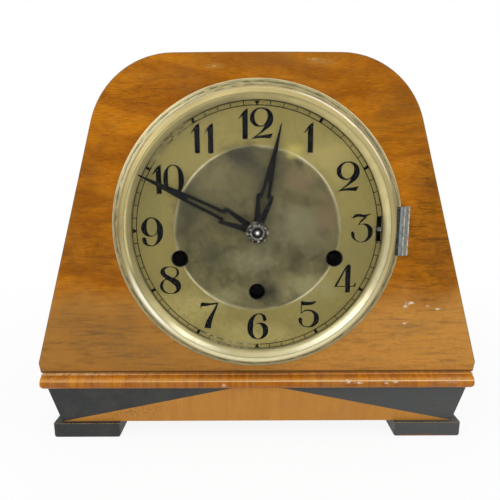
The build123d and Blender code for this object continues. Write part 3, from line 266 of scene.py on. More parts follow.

# Painted highlights and painted shade on the bezel: from angle, to angle, from radius, to radius, strength
# and colour.
BEZEL_PAINTED_LIGHT = (
    (0.15, 1.35, 85.2, 87.2, 0.9, (0.95, 0.92, 0.74)),
    (-2.55, -1.8, 82.4, 86.2, 0.9, (0.95, 0.92, 0.74)),
    (-0.95, -0.2, 82.0, 85.4, 0.8, (0.25, 0.2, 0.076)),
    (-1.0, -0.1, 85.7, 87.2, 0.6, (0.92, 0.88, 0.66)),
)

# Painted highlights on the sight ring: from angle, to angle, from radius, strength and colour.
SIGHT_HIGHLIGHTS = (
    (1.95, 2.95, 81.0, 0.65, (0.94, 0.9, 0.66)),
    (-2.95, -2.3, 81.0, 0.65, (0.94, 0.9, 0.66)),
    (-0.25, 1.55, 79.4, 0.65, (0.92, 0.79, 0.36)),
    (-1.95, 0.2, 81.8, 0.9, (0.98, 0.86, 0.44)),
)

# Places where the minute track is rubbed: from angle, to angle.
RUBBED_ARCS = ((-1.02, -0.54), (-3.14, -2.66))


def colour_property(name, description, default):
    """A colour that a user may change, as red, green and blue in linear light."""
    return bpy.props.FloatVectorProperty(
        name=name, description=description, default=default, size=3, min=0.0, max=1.0, subtype="COLOR"
    )


def number_property(name, description, default, **more):
    """A number that a user may change, with its limits and its unit."""
    return bpy.props.FloatProperty(name=name, description=description, default=default, **more)


length_property = partial(number_property, min=0.0, precision=5, unit="LENGTH")
power_property = partial(number_property, min=0.0, unit="POWER")
angle_property = partial(number_property, subtype="ANGLE")


class CaseFinish(bpy.types.PropertyGroup):
    """Colours of the veneer, the moulding and the plinth."""

    veneer_light: colour_property("Veneer light", "Pale bands of the case veneer", (0.5, 0.174, 0.006))
    veneer_dark: colour_property("Veneer dark", "Dark bands of the case veneer", (0.3, 0.09, 0.004))
    veneer_pore: colour_property("Veneer pores", "Fine dark streaks along the grain", (0.1, 0.034, 0.006))
    moulding_light: colour_property("Moulding light", "Pale lines of the base moulding", (0.52, 0.185, 0.008))
    moulding_dark: colour_property("Moulding dark", "Dark lines of the base moulding", (0.35, 0.1, 0.005))
    panel_light: colour_property("Panel light", "Plinth panel", (0.53, 0.242, 0.04))
    panel_dark: colour_property("Panel dark", "Dark lines of the plinth panel", (0.46, 0.195, 0.028))
    black: colour_property("Black stain", "Wedges, plinth and feet", (0.024, 0.027, 0.026))
    worn: colour_property("Worn edge", "Bare wood where the polish is rubbed through", (0.34, 0.2, 0.075))
    back: colour_property("Back wood", "Stained boards of the back", (0.21, 0.1, 0.035))


class DialFinish(bpy.types.PropertyGroup):
    """Colours and sizes of the dial and its print."""

    ring: colour_property("Chapter ring", "Olive brass under the figures", (0.198, 0.163, 0.049))
    centre: colour_property("Dial centre", "Tarnished brass inside the chapter ring", (0.074, 0.065, 0.026))
    ink: colour_property("Ink", "Blue-black print", (0.004, 0.0045, 0.005))
    ink_thickness: length_property("Ink thickness", "How far the print stands on the dial", 0.00006)
    track_outer: length_property("Track outer radius", "Outer minute circle", 0.0795)
    track_inner: length_property("Track inner radius", "Inner minute circle", 0.0766)
    line_width: length_property("Line width", "Width of the minute circles and strokes", 0.0005)
    bar_width: length_property("Bar width", "Width of the hour bars", 0.0019)


class MetalFinish(bpy.types.PropertyGroup):
    """Colours of the brass and steel."""

    bezel: colour_property("Bezel brass", "Bright band round the glass", (0.37, 0.302, 0.124))
    bezel_rim: colour_property("Bezel rim", "Dull flange on the board", (0.36, 0.31, 0.15))
    brass: colour_property("Brass", "Plates and wheels", (0.62, 0.46, 0.18))
    steel: colour_property("Steel", "Arbors, rods and springs", (0.46, 0.47, 0.48))
    tin: colour_property("Tin", "Bezel hinge", (0.3, 0.33, 0.33))
    black: colour_property("Black hands", "Hands", (0.005, 0.005, 0.0055))


class StageSetup(bpy.types.PropertyGroup):
    """Light, floor and camera."""

    key_power: power_property("Key", "Large lamp above the left of the camera", 4.0)
    front_power: power_property("Front", "Wide soft lamp behind the camera", 5.0)
    top_power: power_property("Top", "Lamp above the case", 2.5)
    side_power: power_property("Sides", "Each of the two lamps high at the sides", 3.4)
    world_light: number_property("World light", "Strength of the even light from all round", 0.37, min=0.0)
    floor_white: number_property(
        "Floor white",
        "How far the floor near the clock shows plain white",
        0.9,
        min=0.0,
        max=1.0,
        subtype="FACTOR",
    )
    camera_place: bpy.props.FloatVectorProperty(
        name="Camera place",
        description="Where the camera stands",
        default=(-0.0051112, -0.3294474, 0.1818491),
        size=3,
        subtype="TRANSLATION",
        unit="LENGTH",
        precision=5,
    )
    camera_yaw: angle_property("Yaw", "Turn to the right", math.radians(0.1156))
    camera_pitch: angle_property("Pitch", "Tilt upwards", math.radians(-10.4879))
    camera_roll: angle_property("Roll", "Turn about the line of sight", math.radians(-0.1545))
    camera_lens: number_property(
        "Lens", "Focal length on a 36 mm wide picture", 30.741, min=1.0, unit="CAMERA"
    )


class Nodes:
    """An empty shader node tree, and the few kinds of node that the finishes are drawn with."""

    def __init__(self, tree):
        self.tree = tree
        tree.nodes.clear()

    def feed(self, socket, value):
        """Sets a socket to a plain value, or links another node's output to it."""
        if isinstance(value, bpy.types.NodeSocket):
            self.tree.links.new(value, socket)
        elif socket.type == "RGBA" and len(value) == 3:
            socket.default_value = (*value, 1.0)
        else:
            socket.default_value = value

    def add(self, kind, *values, settings=None, **inputs):
        """The outputs of a new node. Values go to its first sockets, inputs to the named ones."""
        node = self.tree.nodes.new("ShaderNode" + kind)
        for name, value in (settings or {}).items():
            setattr(node, name, value)
        for socket, value in zip(node.inputs, values):
            self.feed(socket, value)
        for name, value in inputs.items():
            self.feed(node.inputs[name], value)
        return node.outputs

    def maths(self, operation, *values):
        """The result of one Math node."""
        return self.add("Math", *values, settings={"operation": operation})[0]

    def times(self, *values):
        """All the values multiplied."""
        return reduce(lambda product, value: self.maths("MULTIPLY", product, value), values)

    def vector(self, operation, *values, out="Vector"):
        """What one Vector Math node puts out."""
        return self.add("VectorMath", *values, settings={"operation": operation})[out]

    def step(self, value, low, high, first=0.0, last=1.0):
        """A smooth step from first to last as the value goes from low to high."""
        smooth = {"interpolation_type": "SMOOTHSTEP"}
        return self.add("MapRange", value, low, high, first, last, settings=smooth)["Result"]

    def band(self, value, start, end, fade, end_fade=None):
        """1 where the value lies between start and end, with soft ends inside them."""
        last = end - (fade if end_fade is None else end_fade)
        return self.times(self.step(value, start, start + fade), self.step(value, end, last))

    def noise(self, vector, scale=1.0, detail=3.0, roughness=0.55, distortion=0.0):
        """A noise value from 0 to 1."""
        values = {"Scale": scale, "Detail": detail, "Roughness": roughness, "Distortion": distortion}
        return self.add("TexNoise", Vector=vector, **values)["Fac"]

    def noise_along(self, value, scale, detail):
        """A noise that changes with one value only."""
        line = {"noise_dimensions": "1D"}
        return self.add("TexNoise", settings=line, W=value, Scale=scale, Detail=detail)["Fac"]

    def mix(self, factor, first, second, mode="MIX"):
        """Two colours mixed by a factor."""
        node = self.tree.nodes.new("ShaderNodeMix")
        node.data_type, node.blend_type = "RGBA", mode
        for index, value in ((0, factor), (6, first), (7, second)):
            self.feed(node.inputs[index], value)
        return node.outputs[2]

    def over(self, colour, tone, *masks):
        """A colour with a tone over it, as far as the masks, multiplied, let it."""
        return self.mix(self.times(*masks), colour, tone)

    def shade(self, colour, value):
        """A colour made lighter or darker by a value."""
        grey = self.add("CombineColor", value, value, value)["Color"]
        return self.mix(1.0, colour, grey, "MULTIPLY")

    def place(self, name, **inputs):
        """The outputs of one of the shared groups, with values of its own."""
        return self.add("Group", settings={"node_tree": shared_group(name)}, **inputs)


def draw_grain(nodes, given, out):
    """Veneer: broad bands, dark streaks, pores and fibres, the grain across the vector's Z."""

    def streaks(across, along, **look):
        return nodes.noise(nodes.vector("MULTIPLY", given["Vector"], (across, across, along)), **look)

    band = nodes.step(streaks(0.02, 0.055, detail=5.0, roughness=0.6, distortion=0.8), 0.32, 0.68)
    ground = nodes.mix(band, given["Dark"], given["Light"])
    streak = nodes.step(streaks(0.05, 0.42, detail=4.0, roughness=0.7, distortion=0.5), 0.46, 0.74)
    line = nodes.step(streaks(0.11, 1.3, roughness=0.65), 0.52, 0.72)
    where = nodes.step(streaks(0.025, 0.06), 0.35, 0.65, 0.3, 1.0)
    pore = nodes.maths("MAXIMUM", nodes.times(streak, 0.6), nodes.times(line, 0.75))
    pore = nodes.times(pore, where, given["Pore Amount"])
    fibre = streaks(0.22, 2.4)
    tone = nodes.step(fibre, 0.25, 0.75, 0.74, 1.2)
    nodes.feed(out["Color"], nodes.shade(nodes.over(ground, given["Pore"], pore), tone))
    nodes.feed(out["Height"], nodes.maths("SUBTRACT", nodes.times(fibre, 0.4), pore))
    nodes.feed(out["Streak"], streak)


def draw_grime(nodes, given, out):
    """Soft blotches, as of dust and hands, and a noise nine times finer."""
    broad = nodes.noise(given["Vector"], given["Scale"], 5.0, 0.62, 0.4)
    edge = nodes.maths("SUBTRACT", 0.78, nodes.times(given["Cover"], 0.5))
    low, high = nodes.maths("SUBTRACT", edge, 0.14), nodes.maths("ADD", edge, 0.1)
    nodes.feed(out["Mask"], nodes.step(broad, low, high))
    nodes.feed(out["Fine"], nodes.noise(given["Vector"], nodes.times(given["Scale"], 9.0), 3.0, 0.7))


def draw_patch(nodes, given, out):
    """A soft oval patch with a ragged edge round one place."""
    off = nodes.vector("SUBTRACT", given["Vector"], given["Centre"])
    away = nodes.vector("LENGTH", nodes.vector("DIVIDE", off, given["Size"]), out="Value")
    rag = nodes.maths("SUBTRACT", nodes.noise(given["Vector"], given["Fineness"], 6.0, 0.68), 0.5)
    reach = nodes.maths("ADD", away, nodes.times(rag, given["Ragged"]))
    nodes.feed(out["Mask"], nodes.step(reach, 0.1, 1.15, 1.0, 0.0))


def draw_scuffs(nodes, given, out):
    """Thin pale scratches in a few places."""
    turned = nodes.add("Mapping", Vector=given["Vector"], Rotation=(0.0, 0.5, 0.0))["Vector"]
    thin = nodes.vector("MULTIPLY", turned, (0.06, 0.3, 1.6))
    line = nodes.step(nodes.noise(thin, detail=2.0, distortion=0.3), 0.68, 0.74)
    spot = nodes.step(nodes.noise(given["Vector"], 0.035, 2.0), 0.52, 0.66)
    nodes.feed(out["Mask"], nodes.times(line, spot, given["Amount"]))


def draw_zones(nodes, given, out):
    """Distance from the dial's middle, and the angle round it from twelve, clockwise."""
    flat = nodes.vector("MULTIPLY", given["Vector"], (1.0, 0.0, 1.0))
    off = nodes.vector("SUBTRACT", flat, (0.0, 0.0, DIAL_Z / MM))
    parts = nodes.add("SeparateXYZ", off)
    nodes.feed(out["Radius"], nodes.vector("LENGTH", off, out="Value"))
    nodes.feed(out["Angle"], nodes.maths("ARCTAN2", parts["X"], parts["Z"]))


def draw_winding(nodes, given, out):
    """1 within the inner distance of a winding arbor's axis, 0 beyond the outer one."""
    flat = nodes.vector("MULTIPLY", given["Vector"], (1.0, 0.0, 1.0))
    mask = 0.0
    for arbor in WINDING_ARBORS:
        low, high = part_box(arbor)
        axis = ((low.x + high.x) / 2 / MM, 0.0, (low.z + high.z) / 2 / MM)
        reach = nodes.vector("DISTANCE", flat, axis, out="Value")
        mask = nodes.maths("MAXIMUM", mask, nodes.step(reach, given["Outer"], given["Inner"]))
    nodes.feed(out["Mask"], mask)


# Shared node groups: how each is drawn, its inputs and its outputs. Vectors are in millimetres.
GROUPS = {
    "wood grain": (draw_grain, "Vector, Light, Dark, Pore, Pore Amount", "Color, Height, Streak"),
    "grime": (draw_grime, "Vector, Scale, Cover", "Mask, Fine"),
    "patch": (draw_patch, "Vector, Centre, Size, Ragged, Fineness", "Mask"),
    "scuffs": (draw_scuffs, "Vector, Amount", "Mask"),
    "dial zones": (draw_zones, "Vector", "Radius, Angle"),
    "winding oil": (draw_winding, "Vector, Inner, Outer", "Mask"),
}
SOCKET_KINDS = dict.fromkeys(("Vector", "Centre", "Size"), "Vector")
SOCKET_KINDS |= dict.fromkeys(("Light", "Dark", "Pore", "Color"), "Color")


def shared_group(name):
    """The shader node group of that name, built the first time."""
    if name not in bpy.data.node_groups:
        draw, inputs, outputs = GROUPS[name]
        group = bpy.data.node_groups.new(name, "ShaderNodeTree")
        nodes = Nodes(group)
        for way, labels in (("INPUT", inputs), ("OUTPUT", outputs)):
            for label in labels.split(", "):
                kind = SOCKET_KINDS.get(label, "Float")
                group.interface.new_socket(label, in_out=way, socket_type="NodeSocket" + kind)
        given = group.nodes.new("NodeGroupInput").outputs
        draw(nodes, given, group.nodes.new("NodeGroupOutput").inputs)
    return bpy.data.node_groups[name]


class Coat(Nodes):
    """A new material with a Principled shader, its colour so far, its coordinates and its dirt."""

    def __init__(self, name, grime_scale=0.12, cover=0.5, colour=None):
        self.material = bpy.data.materials.new(name)
        self.material.use_nodes = True
        super().__init__(self.material.node_tree)
        self.shader = self.tree.nodes.new("ShaderNodeBsdfPrincipled")
        self.grime_scale, self.cover, self.colour = grime_scale, cover, colour

    def paint(self, tone, *masks):
        """Lays a tone over the colour, as far as the masks, multiplied, let it."""
        self.colour = self.over(self.colour, tone, *masks)

    def turned(self, turn=(0.0, 0.0, 0.0)):
        """Object coordinates in millimetres, turned where the grain runs another way."""
        here = self.add("TexCoord")["Object"]
        return self.add("Mapping", Vector=here, Rotation=turn, Scale=(1 / MM,) * 3)["Vector"]

    @cached_property
    def at(self):
        """The place on the object."""
        return self.turned()

    @cached_property
    def parts(self):
        """X, Y and Z of the place."""
        return self.add("SeparateXYZ", self.at)

    @cached_property
    def facing(self):
        """X, Y and Z of the way that the surface faces."""
        return self.add("SeparateXYZ", self.add("NewGeometry")["Normal"])

    @cached_property
    def zone(self):
        """Radius and Angle on the dial."""
        return self.place("dial zones", Vector=self.at)

    @cached_property
    def grime(self):
        """Mask of the dirt, and its Fine noise."""
        return self.place("grime", Vector=self.at, Scale=self.grime_scale, Cover=self.cover)

    @property
    def dirt(self):
        """The mask of the dirt."""
        return self.grime["Mask"]

    @property
    def fine(self):
        """The fine noise of the dirt."""
        return self.grime["Fine"]

    def grain(self, light, dark, pore, amount, turn=(0.0, 0.0, 0.0), closer=None):
        """Covers the coat with wood grain, turned, and drawn closer together where that is given."""
        along = self.turned(turn)
        if closer:
            along = self.vector("MULTIPLY", along, (1.0, 1.0, closer))
        wood = {"Light": light, "Dark": dark, "Pore": pore, "Pore Amount": amount}
        grain = self.place("wood grain", Vector=along, **wood)
        self.colour = grain["Color"]
        return grain

    def patch(self, centre, size, ragged, fineness):
        """The mask of one ragged patch."""
        look = {"Size": size, "Ragged": ragged, "Fineness": fineness}
        return self.place("patch", Vector=self.at, Centre=centre, **look)["Mask"]

    def marks(self, table, front, depth, ragged, fineness, *masks):
        """Lays the marks of a table on the coat. They lie at that y, and reach that far from it."""
        for (x, z), (width, height), strength, tone in table:
            mask = self.patch((x, front, z), (width, depth, height), ragged, fineness)
            self.paint(tone, *masks, strength, mask)

    def rounded_edges(self):
        """A mask of the rounded edges: where the surface faces none of the three main ways."""
        size = self.vector("ABSOLUTE", self.add("NewGeometry")["Normal"])
        parts = self.add("SeparateXYZ", size)
        largest = self.maths("MAXIMUM", self.maths("MAXIMUM", parts["X"], parts["Y"]), parts["Z"])
        return self.step(largest, 0.8, 0.95, 1.0, 0.0)

    def near_winding(self, inner, outer):
        """The mask of the places round the winding arbors."""
        return self.place("winding oil", Vector=self.at, Inner=inner, Outer=outer)["Mask"]

    def done(self, rough, metallic=0.0, gloss=0.5, height=None, bump=0.0):
        """The material with its shader fed. A pair for rough is spread by the fine dirt."""
        if isinstance(rough, tuple):
            rough = self.step(self.fine, *FINE_RANGE, *rough)
        values = {"Roughness": rough, "Metallic": metallic, "Specular IOR Level": gloss}
        if height is not None:
            relief = {"Height": height, "Strength": bump, "Distance": BUMP_DISTANCE}
            values["Normal"] = self.add("Bump", **relief)["Normal"]
        for name, value in {"Base Color": self.colour, **values}.items():
            self.feed(self.shader.inputs[name], value)
        self.add("OutputMaterial", Surface=self.shader.outputs["BSDF"])
        return self.material


def worn_veneer(name, finish, turn=(0.0, 0.0, 0.0), front=False):
    """Polished veneer with a few scratches; the front board has its own wear, painted sheen and painted shade
    as well.
    """
    coat = Coat(name, 0.03, 0.45)
    grain = coat.grain(finish.veneer_light, finish.veneer_dark, finish.veneer_pore, 0.85, turn)
    coat.paint((0.2, 0.09, 0.02), coat.dirt, 0.3)
    if front:
        front_wear_and_painted_light(coat, grain["Streak"])
    coat.paint((0.6, 0.5, 0.36), coat.place("scuffs", Vector=coat.at, Amount=0.1)["Mask"])
    return coat.done((0.3, 0.5), gloss=0.035, height=grain["Height"], bump=0.15)


def front_wear_and_painted_light(coat, streak):
    """A pale veil over the foot of the front board, partly dust and partly painted sheen, stains, nicks, a
    painted shadow where the board meets the moulding, a dark rim, and painted shade, black, within the dial's
    circle.
    """
    x, z, fine = coat.parts["X"], coat.parts["Z"], coat.fine
    ahead = coat.times(coat.facing["Y"], -1.0)
    # Painted sheen and dust: a pale veil over the board's foot, lighter to the right.
    haze_and_sheen = coat.mix(coat.step(x, -90.0, 60.0), (0.37, 0.182, 0.043), (0.56, 0.275, 0.064))
    wander = coat.times(coat.noise(coat.at, 0.03), 40.0)
    low = coat.times(
        coat.step(coat.maths("ADD", z, wander), 134.0, 108.0),
        coat.step(fine, 0.1, 0.7, 0.5, 0.8),
        coat.step(ahead, 0.2, 0.7),
    )
    coat.paint(haze_and_sheen, low)
    coat.paint((0.17, 0.085, 0.025), low, 0.75, streak)
    broken = coat.step(coat.maths("ADD", streak, fine), 0.3, 1.1, 0.25, 1.0)
    coat.marks(FRONT_MARKS, BOARD_FACE, 9.0, 2.4, 0.05, broken)
    bare = coat.step(fine, 0.42, 0.56)
    for (across, up), (width, height), tone in FRONT_NICKS:
        mask = coat.patch((across, BOARD_FACE, up), (width, 8.0, height), 4.0, 0.45)
        coat.paint(tone, coat.step(mask, 0.3, 0.7), bare)
    # Painted shadow: a dark line along the board's foot, where it meets the moulding.
    joint_shadow = coat.step(z, BOARD_FOOT + 1.7, BOARD_FOOT + 0.8, 0.0, 0.75)
    coat.paint((0.06, 0.035, 0.015), joint_shadow)
    coat.paint((0.17, 0.115, 0.045), coat.band(ahead, 0.05, 0.995, 0.25, 0.095), 0.75)
    # Painted shade: the board is black within the dial's circle.
    coat.paint((0.006, 0.005, 0.004), coat.step(coat.zone["Radius"], 81.5, 80.9))


def moulding_finish(finish):
    """Cross-grained moulding, glossier than the case, dulled below and nicked along its nose, with painted
    highlights: a pale line along its ledge, and a sheen and a glint line on the round of its nose.
    """
    coat = Coat("cross-grained moulding", 0.06)
    light, dark = finish.moulding_light, finish.moulding_dark
    grain = coat.grain(light, dark, finish.veneer_pore, 0.75, UPRIGHT_GRAIN, 3.6)
    x, z, rise, fine = coat.parts["X"], coat.parts["Z"], coat.facing["Z"], coat.fine
    coat.paint((0.34, 0.16, 0.08), coat.step(z, 41.2, 38.6), 0.5)
    coat.paint((0.2, 0.1, 0.05), coat.dirt, 0.3)
    # Painted highlight: a pale line along the ledge, broken up by noise and stronger towards the left.
    ledge = coat.times(coat.step(z, 46.3, 46.9), coat.step(fine, 0.35, 0.6))
    coat.paint((0.6, 0.42, 0.22), ledge, coat.step(x, -50.0, -120.0, 0.2, 0.8))
    # Painted sheen: a pale band on the upward-facing round of the nose, broken up by noise.
    rubbed = coat.band(rise, 0.2, 0.9, 0.3)
    coat.paint((0.78, 0.42, 0.1), rubbed, coat.step(fine, 0.3, 0.6, 0.1, 0.4))
    # Painted highlight: a thin glint line within the sheen, stronger towards the right.
    glint = coat.band(rise, 0.3, 0.52, 0.07)
    coat.paint((0.95, 0.72, 0.42), glint, coat.step(x, -120.0, 60.0, 0.12, 0.5))
    coat.marks(NOSE_MARKS, NOSE_FACE, 5.0, 1.4, 0.35, coat.step(fine, 0.4, 0.6))
    return coat.done((0.16, 0.28), gloss=0.1, height=grain["Height"], bump=0.12)


def panel_finish(finish):
    """Pale plinth panel with upright lines, darker speckles near the left foot."""
    coat = Coat("plinth panel veneer", 0.08)
    grain = coat.grain(finish.panel_light, finish.panel_dark, finish.veneer_pore, 0.08, UPRIGHT_GRAIN, 3.0)
    middle = (Vector(finish.panel_light) + Vector(finish.panel_dark)) / 2
    coat.paint(tuple(middle), 0.45)
    left = coat.patch((-88.0, -56.0, 18.0), (30.0, 14.0, 10.0), 1.4, 0.12)
    coat.paint((0.16, 0.07, 0.025), left, coat.step(coat.fine, 0.45, 0.65), 0.7)
    coat.paint((0.34, 0.16, 0.05), coat.dirt, 0.2)
    return coat.done((0.35, 0.5), gloss=0.2, height=grain["Height"], bump=0.1)


def black_finish(finish):
    """Black stained wood, rubbed to a golden line on its edges and chipped low on the right."""
    coat = Coat("ebonised wood", 0.07)
    fine = coat.fine
    # The black grows lighter from left to right.
    coat.colour = coat.mix(coat.step(coat.parts["X"], -130.0, 130.0), finish.black, (0.072, 0.078, 0.076))
    coat.paint((0.05, 0.054, 0.052), coat.step(fine, 0.25, 0.75, 0.0, 0.5))
    coat.paint((0.085, 0.08, 0.068), coat.dirt, 0.25)
    coat.paint(finish.worn, coat.rounded_edges(), coat.step(fine, 0.38, 0.56), 0.8)
    chip = coat.patch((115.0, -60.7, 0.6), (24.0, 6.0, 1.6), 1.6, 0.3)
    coat.paint((0.26, 0.08, 0.035), chip, coat.step(fine, 0.4, 0.55))
    return coat.done((0.36, 0.55), gloss=0.2, height=fine, bump=0.12)


def back_finish(finish):
    """Plain stained boards of the back, grain upright."""
    coat = Coat("stained back boards", 0.03)
    light, dark, pore, stain = (tuple(Vector(finish.back) * share) for share in (1.2, 0.75, 0.35, 0.5))
    grain = coat.grain(light, dark, pore, 0.6, UPRIGHT_GRAIN)
    coat.paint(stain, coat.dirt, 0.35)
    return coat.done((0.5, 0.7), gloss=0.25, height=grain["Height"], bump=0.25)


def bezel_finish(metal):
    """Polished band, dull flange with broken grooves outside it, and a dirt patch at the left. Painted light:
    paler towards the bottom as a painted reflection, painted highlights on the flange at the upper left and
    along the band's outer edge, and painted highlights and shade in arcs.
    """
    coat = Coat("bezel brass", 0.09)
    radius, angle, fine = coat.zone["Radius"], coat.zone["Angle"], coat.fine
    flange = coat.step(radius, 86.9, 87.3)
    round_it = coat.add("CombineXYZ", radius, coat.times(angle, 11.0))["Vector"]
    worn = coat.noise(round_it, 1.0, 4.0, 0.65)
    # Painted reflection: the brass is paler towards the bottom.
    coat.colour = coat.mix(coat.step(coat.parts["Z"], 150.0, 60.0), metal.bezel, (0.72, 0.67, 0.4))
    coat.paint(metal.bezel_rim, coat.step(fine, 0.4, 0.7), 0.1)
    dull = coat.mix(coat.step(worn, 0.42, 0.7), metal.bezel_rim, (0.16, 0.135, 0.055))
    dull = coat.over(dull, (0.15, 0.125, 0.06), coat.dirt, 0.35)
    dull = coat.over(dull, (0.6, 0.54, 0.33), coat.step(radius, 91.3, 91.9, 0.0, 0.7))
    # Painted highlight on the flange at the upper left.
    dull = coat.over(dull, (0.78, 0.7, 0.42), coat.band(angle, -1.45, -0.25, 0.35), 0.42)
    coat.paint(dull, flange)
    # Painted highlight: a bright line along the band's outer edge.
    coat.paint((0.8, 0.76, 0.48), coat.band(radius, 86.2, 87.3, 0.5, 0.2), 0.6)
    broken = coat.step(worn, 0.36, 0.56)
    for inner, outer, strength in BEZEL_GROOVES:
        groove = coat.band(radius, inner, outer, 0.25)
        coat.paint((0.055, 0.048, 0.025), broken, strength, groove)
    # Painted highlights and painted shade, arc by arc.
    for start, end, inner, outer, strength, tone in BEZEL_PAINTED_LIGHT:
        arc = coat.band(angle, start, end, 0.3)
        coat.paint(tone, coat.band(radius, inner, outer, 0.5), strength, arc)
    stain = coat.patch((-86.0, -64.0, 146.0), (5.0, 9.0, 19.0), 1.8, 0.2)
    coat.paint((0.2, 0.12, 0.045), stain, coat.step(fine, 0.35, 0.6, 0.15, 0.75))
    rough = coat.maths("ADD", coat.step(fine, *FINE_RANGE, 0.35, 0.4), coat.times(flange, 0.12))
    return coat.done(rough, metallic=0.6, height=fine, bump=0.02)


def sight_finish():
    """Sloped ring between the glass and the dial: bright towards the glass, dull at the dial, with painted
    light: paler to the right, lighter towards the top, and painted highlights in arcs.
    """
    coat = Coat("sight ring brass", 0.09)
    radius, angle = coat.zone["Radius"], coat.zone["Angle"]
    # Painted highlight: the bright tone is paler towards the right.
    bright = coat.mix(coat.step(coat.parts["X"], -80.0, 80.0), (0.41, 0.35, 0.165), (0.76, 0.69, 0.42))
    coat.colour = coat.mix(coat.step(radius, 80.0, 82.0), (0.36, 0.31, 0.14), bright)
    # Painted light: lighter towards the top, darker towards the bottom.
    coat.colour = coat.shade(coat.colour, coat.step(coat.parts["Z"], 110.0, 222.0, 0.85, 1.3))
    for start, end, inner, strength, tone in SIGHT_HIGHLIGHTS:
        arc = coat.band(angle, start, end, 0.25)
        coat.paint(tone, arc, coat.step(radius, inner, inner + 0.8, 0.0, strength))
    coat.paint((0.24, 0.19, 0.08), coat.dirt, 0.15)
    return coat.done((0.27, 0.32), metallic=0.55, gloss=0.3)


def hinge_finish(metal):
    """Grey tin: the bezel's leaf darker, the case's leaf lighter; a painted shadow, black, along the bezel
    leaf's left edge, and a bright line along the knuckle and the case leaf's right edge, partly scratches and
    partly painted highlight.
    """
    coat = Coat("hinge tin", 0.07)
    x, fine = coat.parts["X"], coat.fine
    tin, stain = (tuple(Vector(metal.tin) * share) for share in (0.75, 0.35))
    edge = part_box("bezel_hinge_leaf")[0].x / MM
    coat.colour = coat.mix(coat.step(x, 93.0, 94.0), tin, (0.24, 0.235, 0.18))
    # Painted shadow: black along the leaf's left edge, next to the bezel.
    coat.paint((0.012, 0.011, 0.009), coat.step(x, edge + 1.9, edge + 1.4))
    coat.paint(stain, coat.step(fine, 0.45, 0.65), 0.6)
    # Bright line along the knuckle and the case leaf's right edge: partly scratches, partly painted
    # highlight.
    line = coat.maths("MAXIMUM", coat.band(x, 92.5, 93.5, 0.4), coat.step(x, 96.0, 96.3))
    coat.paint((0.56, 0.55, 0.5), line, coat.step(fine, 0.4, 0.58))
    return coat.done((0.4, 0.6), metallic=0.25, gloss=0.25, height=fine, bump=0.1)


def dial_finish(dial):
    """Dull olive ring, tarnished sunk centre with a thin painted highlight and a soft painted glow along its
    edge, blotches as of damp; painted light on the rim under the sight ring, and painted shade in the winding
    holes.
    """
    coat = Coat("dial brass", 0.05, 0.6)
    radius, angle, fine = coat.zone["Radius"], coat.zone["Angle"], coat.fine
    spun = coat.noise_along(radius, 2.2, 3.0)
    ring = coat.over(dial.ring, (0.17, 0.142, 0.045), coat.dirt, 0.3)
    centre = coat.over(dial.centre, (0.05, 0.045, 0.02), coat.dirt, 0.5)
    cloud = coat.place("grime", Vector=coat.at, Scale=0.1, Cover=0.62)["Mask"]
    centre = coat.over(centre, (0.14, 0.125, 0.055), cloud, 0.25)
    mottle = coat.times(
        coat.step(coat.noise(coat.at, 0.1, 7.0, 0.62), 0.28, 0.72, 0.76, 1.24),
        coat.step(coat.noise(coat.at, 0.6, 3.0, 0.7), 0.3, 0.7, 0.8, 1.2),
    )
    faint = coat.maths("ADD", coat.times(mottle, 0.3), coat.times(spun, 0.4))
    ring = coat.shade(ring, coat.step(faint, 0.3, 0.7, 0.86, 1.1))
    inside = coat.step(radius, SUNK_RADIUS, SUNK_RADIUS - 0.4)
    coat.colour = coat.over(ring, coat.shade(centre, mottle), inside)
    marks = [((x, DIAL_Z / MM + z), *mark) for (x, z), *mark in DIAL_MARKS]
    coat.marks(marks, DIAL_FRONT / MM, 5.0, 2.2, 0.07)
    coat.paint((0.1, 0.085, 0.04), coat.step(fine, 0.5, 0.72), 0.35)
    pits = coat.step(coat.noise(coat.at, 0.9, 2.0), 0.66, 0.74)
    coat.paint((0.06, 0.05, 0.025), pits, 0.55)
    # Painted highlight: a soft, uneven glow just inside the sunk centre's edge.
    uneven = coat.step(coat.noise_along(angle, 1.3, 2.0), 0.4, 0.6)
    glow = coat.times(coat.step(radius, 50.2, 52.4), inside)
    coat.paint((0.28, 0.25, 0.14), uneven, 0.5, glow)
    # Painted highlight: a bright line along the sunk centre's edge, strongest on the diagonals, broken up by
    # noise.
    twice = coat.maths("SINE", coat.times(angle, 2.0))
    diagonal = coat.step(coat.maths("ABSOLUTE", twice), 0.6, 1.0, 0.14, 0.66)
    broken = coat.step(coat.noise(coat.at, 0.12, 2.0), 0.36, 0.6, 0.6, 1.0)
    edge = coat.band(radius, 51.6, 53.5, 1.1, 0.5)
    coat.paint((0.58, 0.53, 0.34), edge, broken, diagonal)
    # Painted light: the rim under the sight ring is made paler to lift the shade that falls there.
    coat.paint((0.42, 0.36, 0.17), coat.step(radius, 79.6, 79.9))
    # Painted shade: the walls of the winding holes are painted black.
    coat.paint((0.008, 0.007, 0.006), coat.near_winding(5.3, 5.7))
    height = coat.maths("ADD", spun, fine)
    return coat.done((0.4, 0.58), metallic=0.5, gloss=0.2, height=height, bump=0.05)


def glass_finish():
    """Clear glass that lets the light through to the dial."""
    coat = Coat("clear glass")
    values = {"Base Color": WHITE, "Roughness": 0.02, "IOR": 1.08, "Transmission Weight": 1.0}
    for name, value in values.items():
        coat.feed(coat.shader.inputs[name], value)
    shadow = coat.add("LightPath")["Is Shadow Ray"]
    clear = coat.add("BsdfTransparent")["BSDF"]
    mixed = coat.add("MixShader", shadow, coat.shader.outputs["BSDF"], clear)["Shader"]
    coat.add("OutputMaterial", Surface=mixed)
    return coat.material


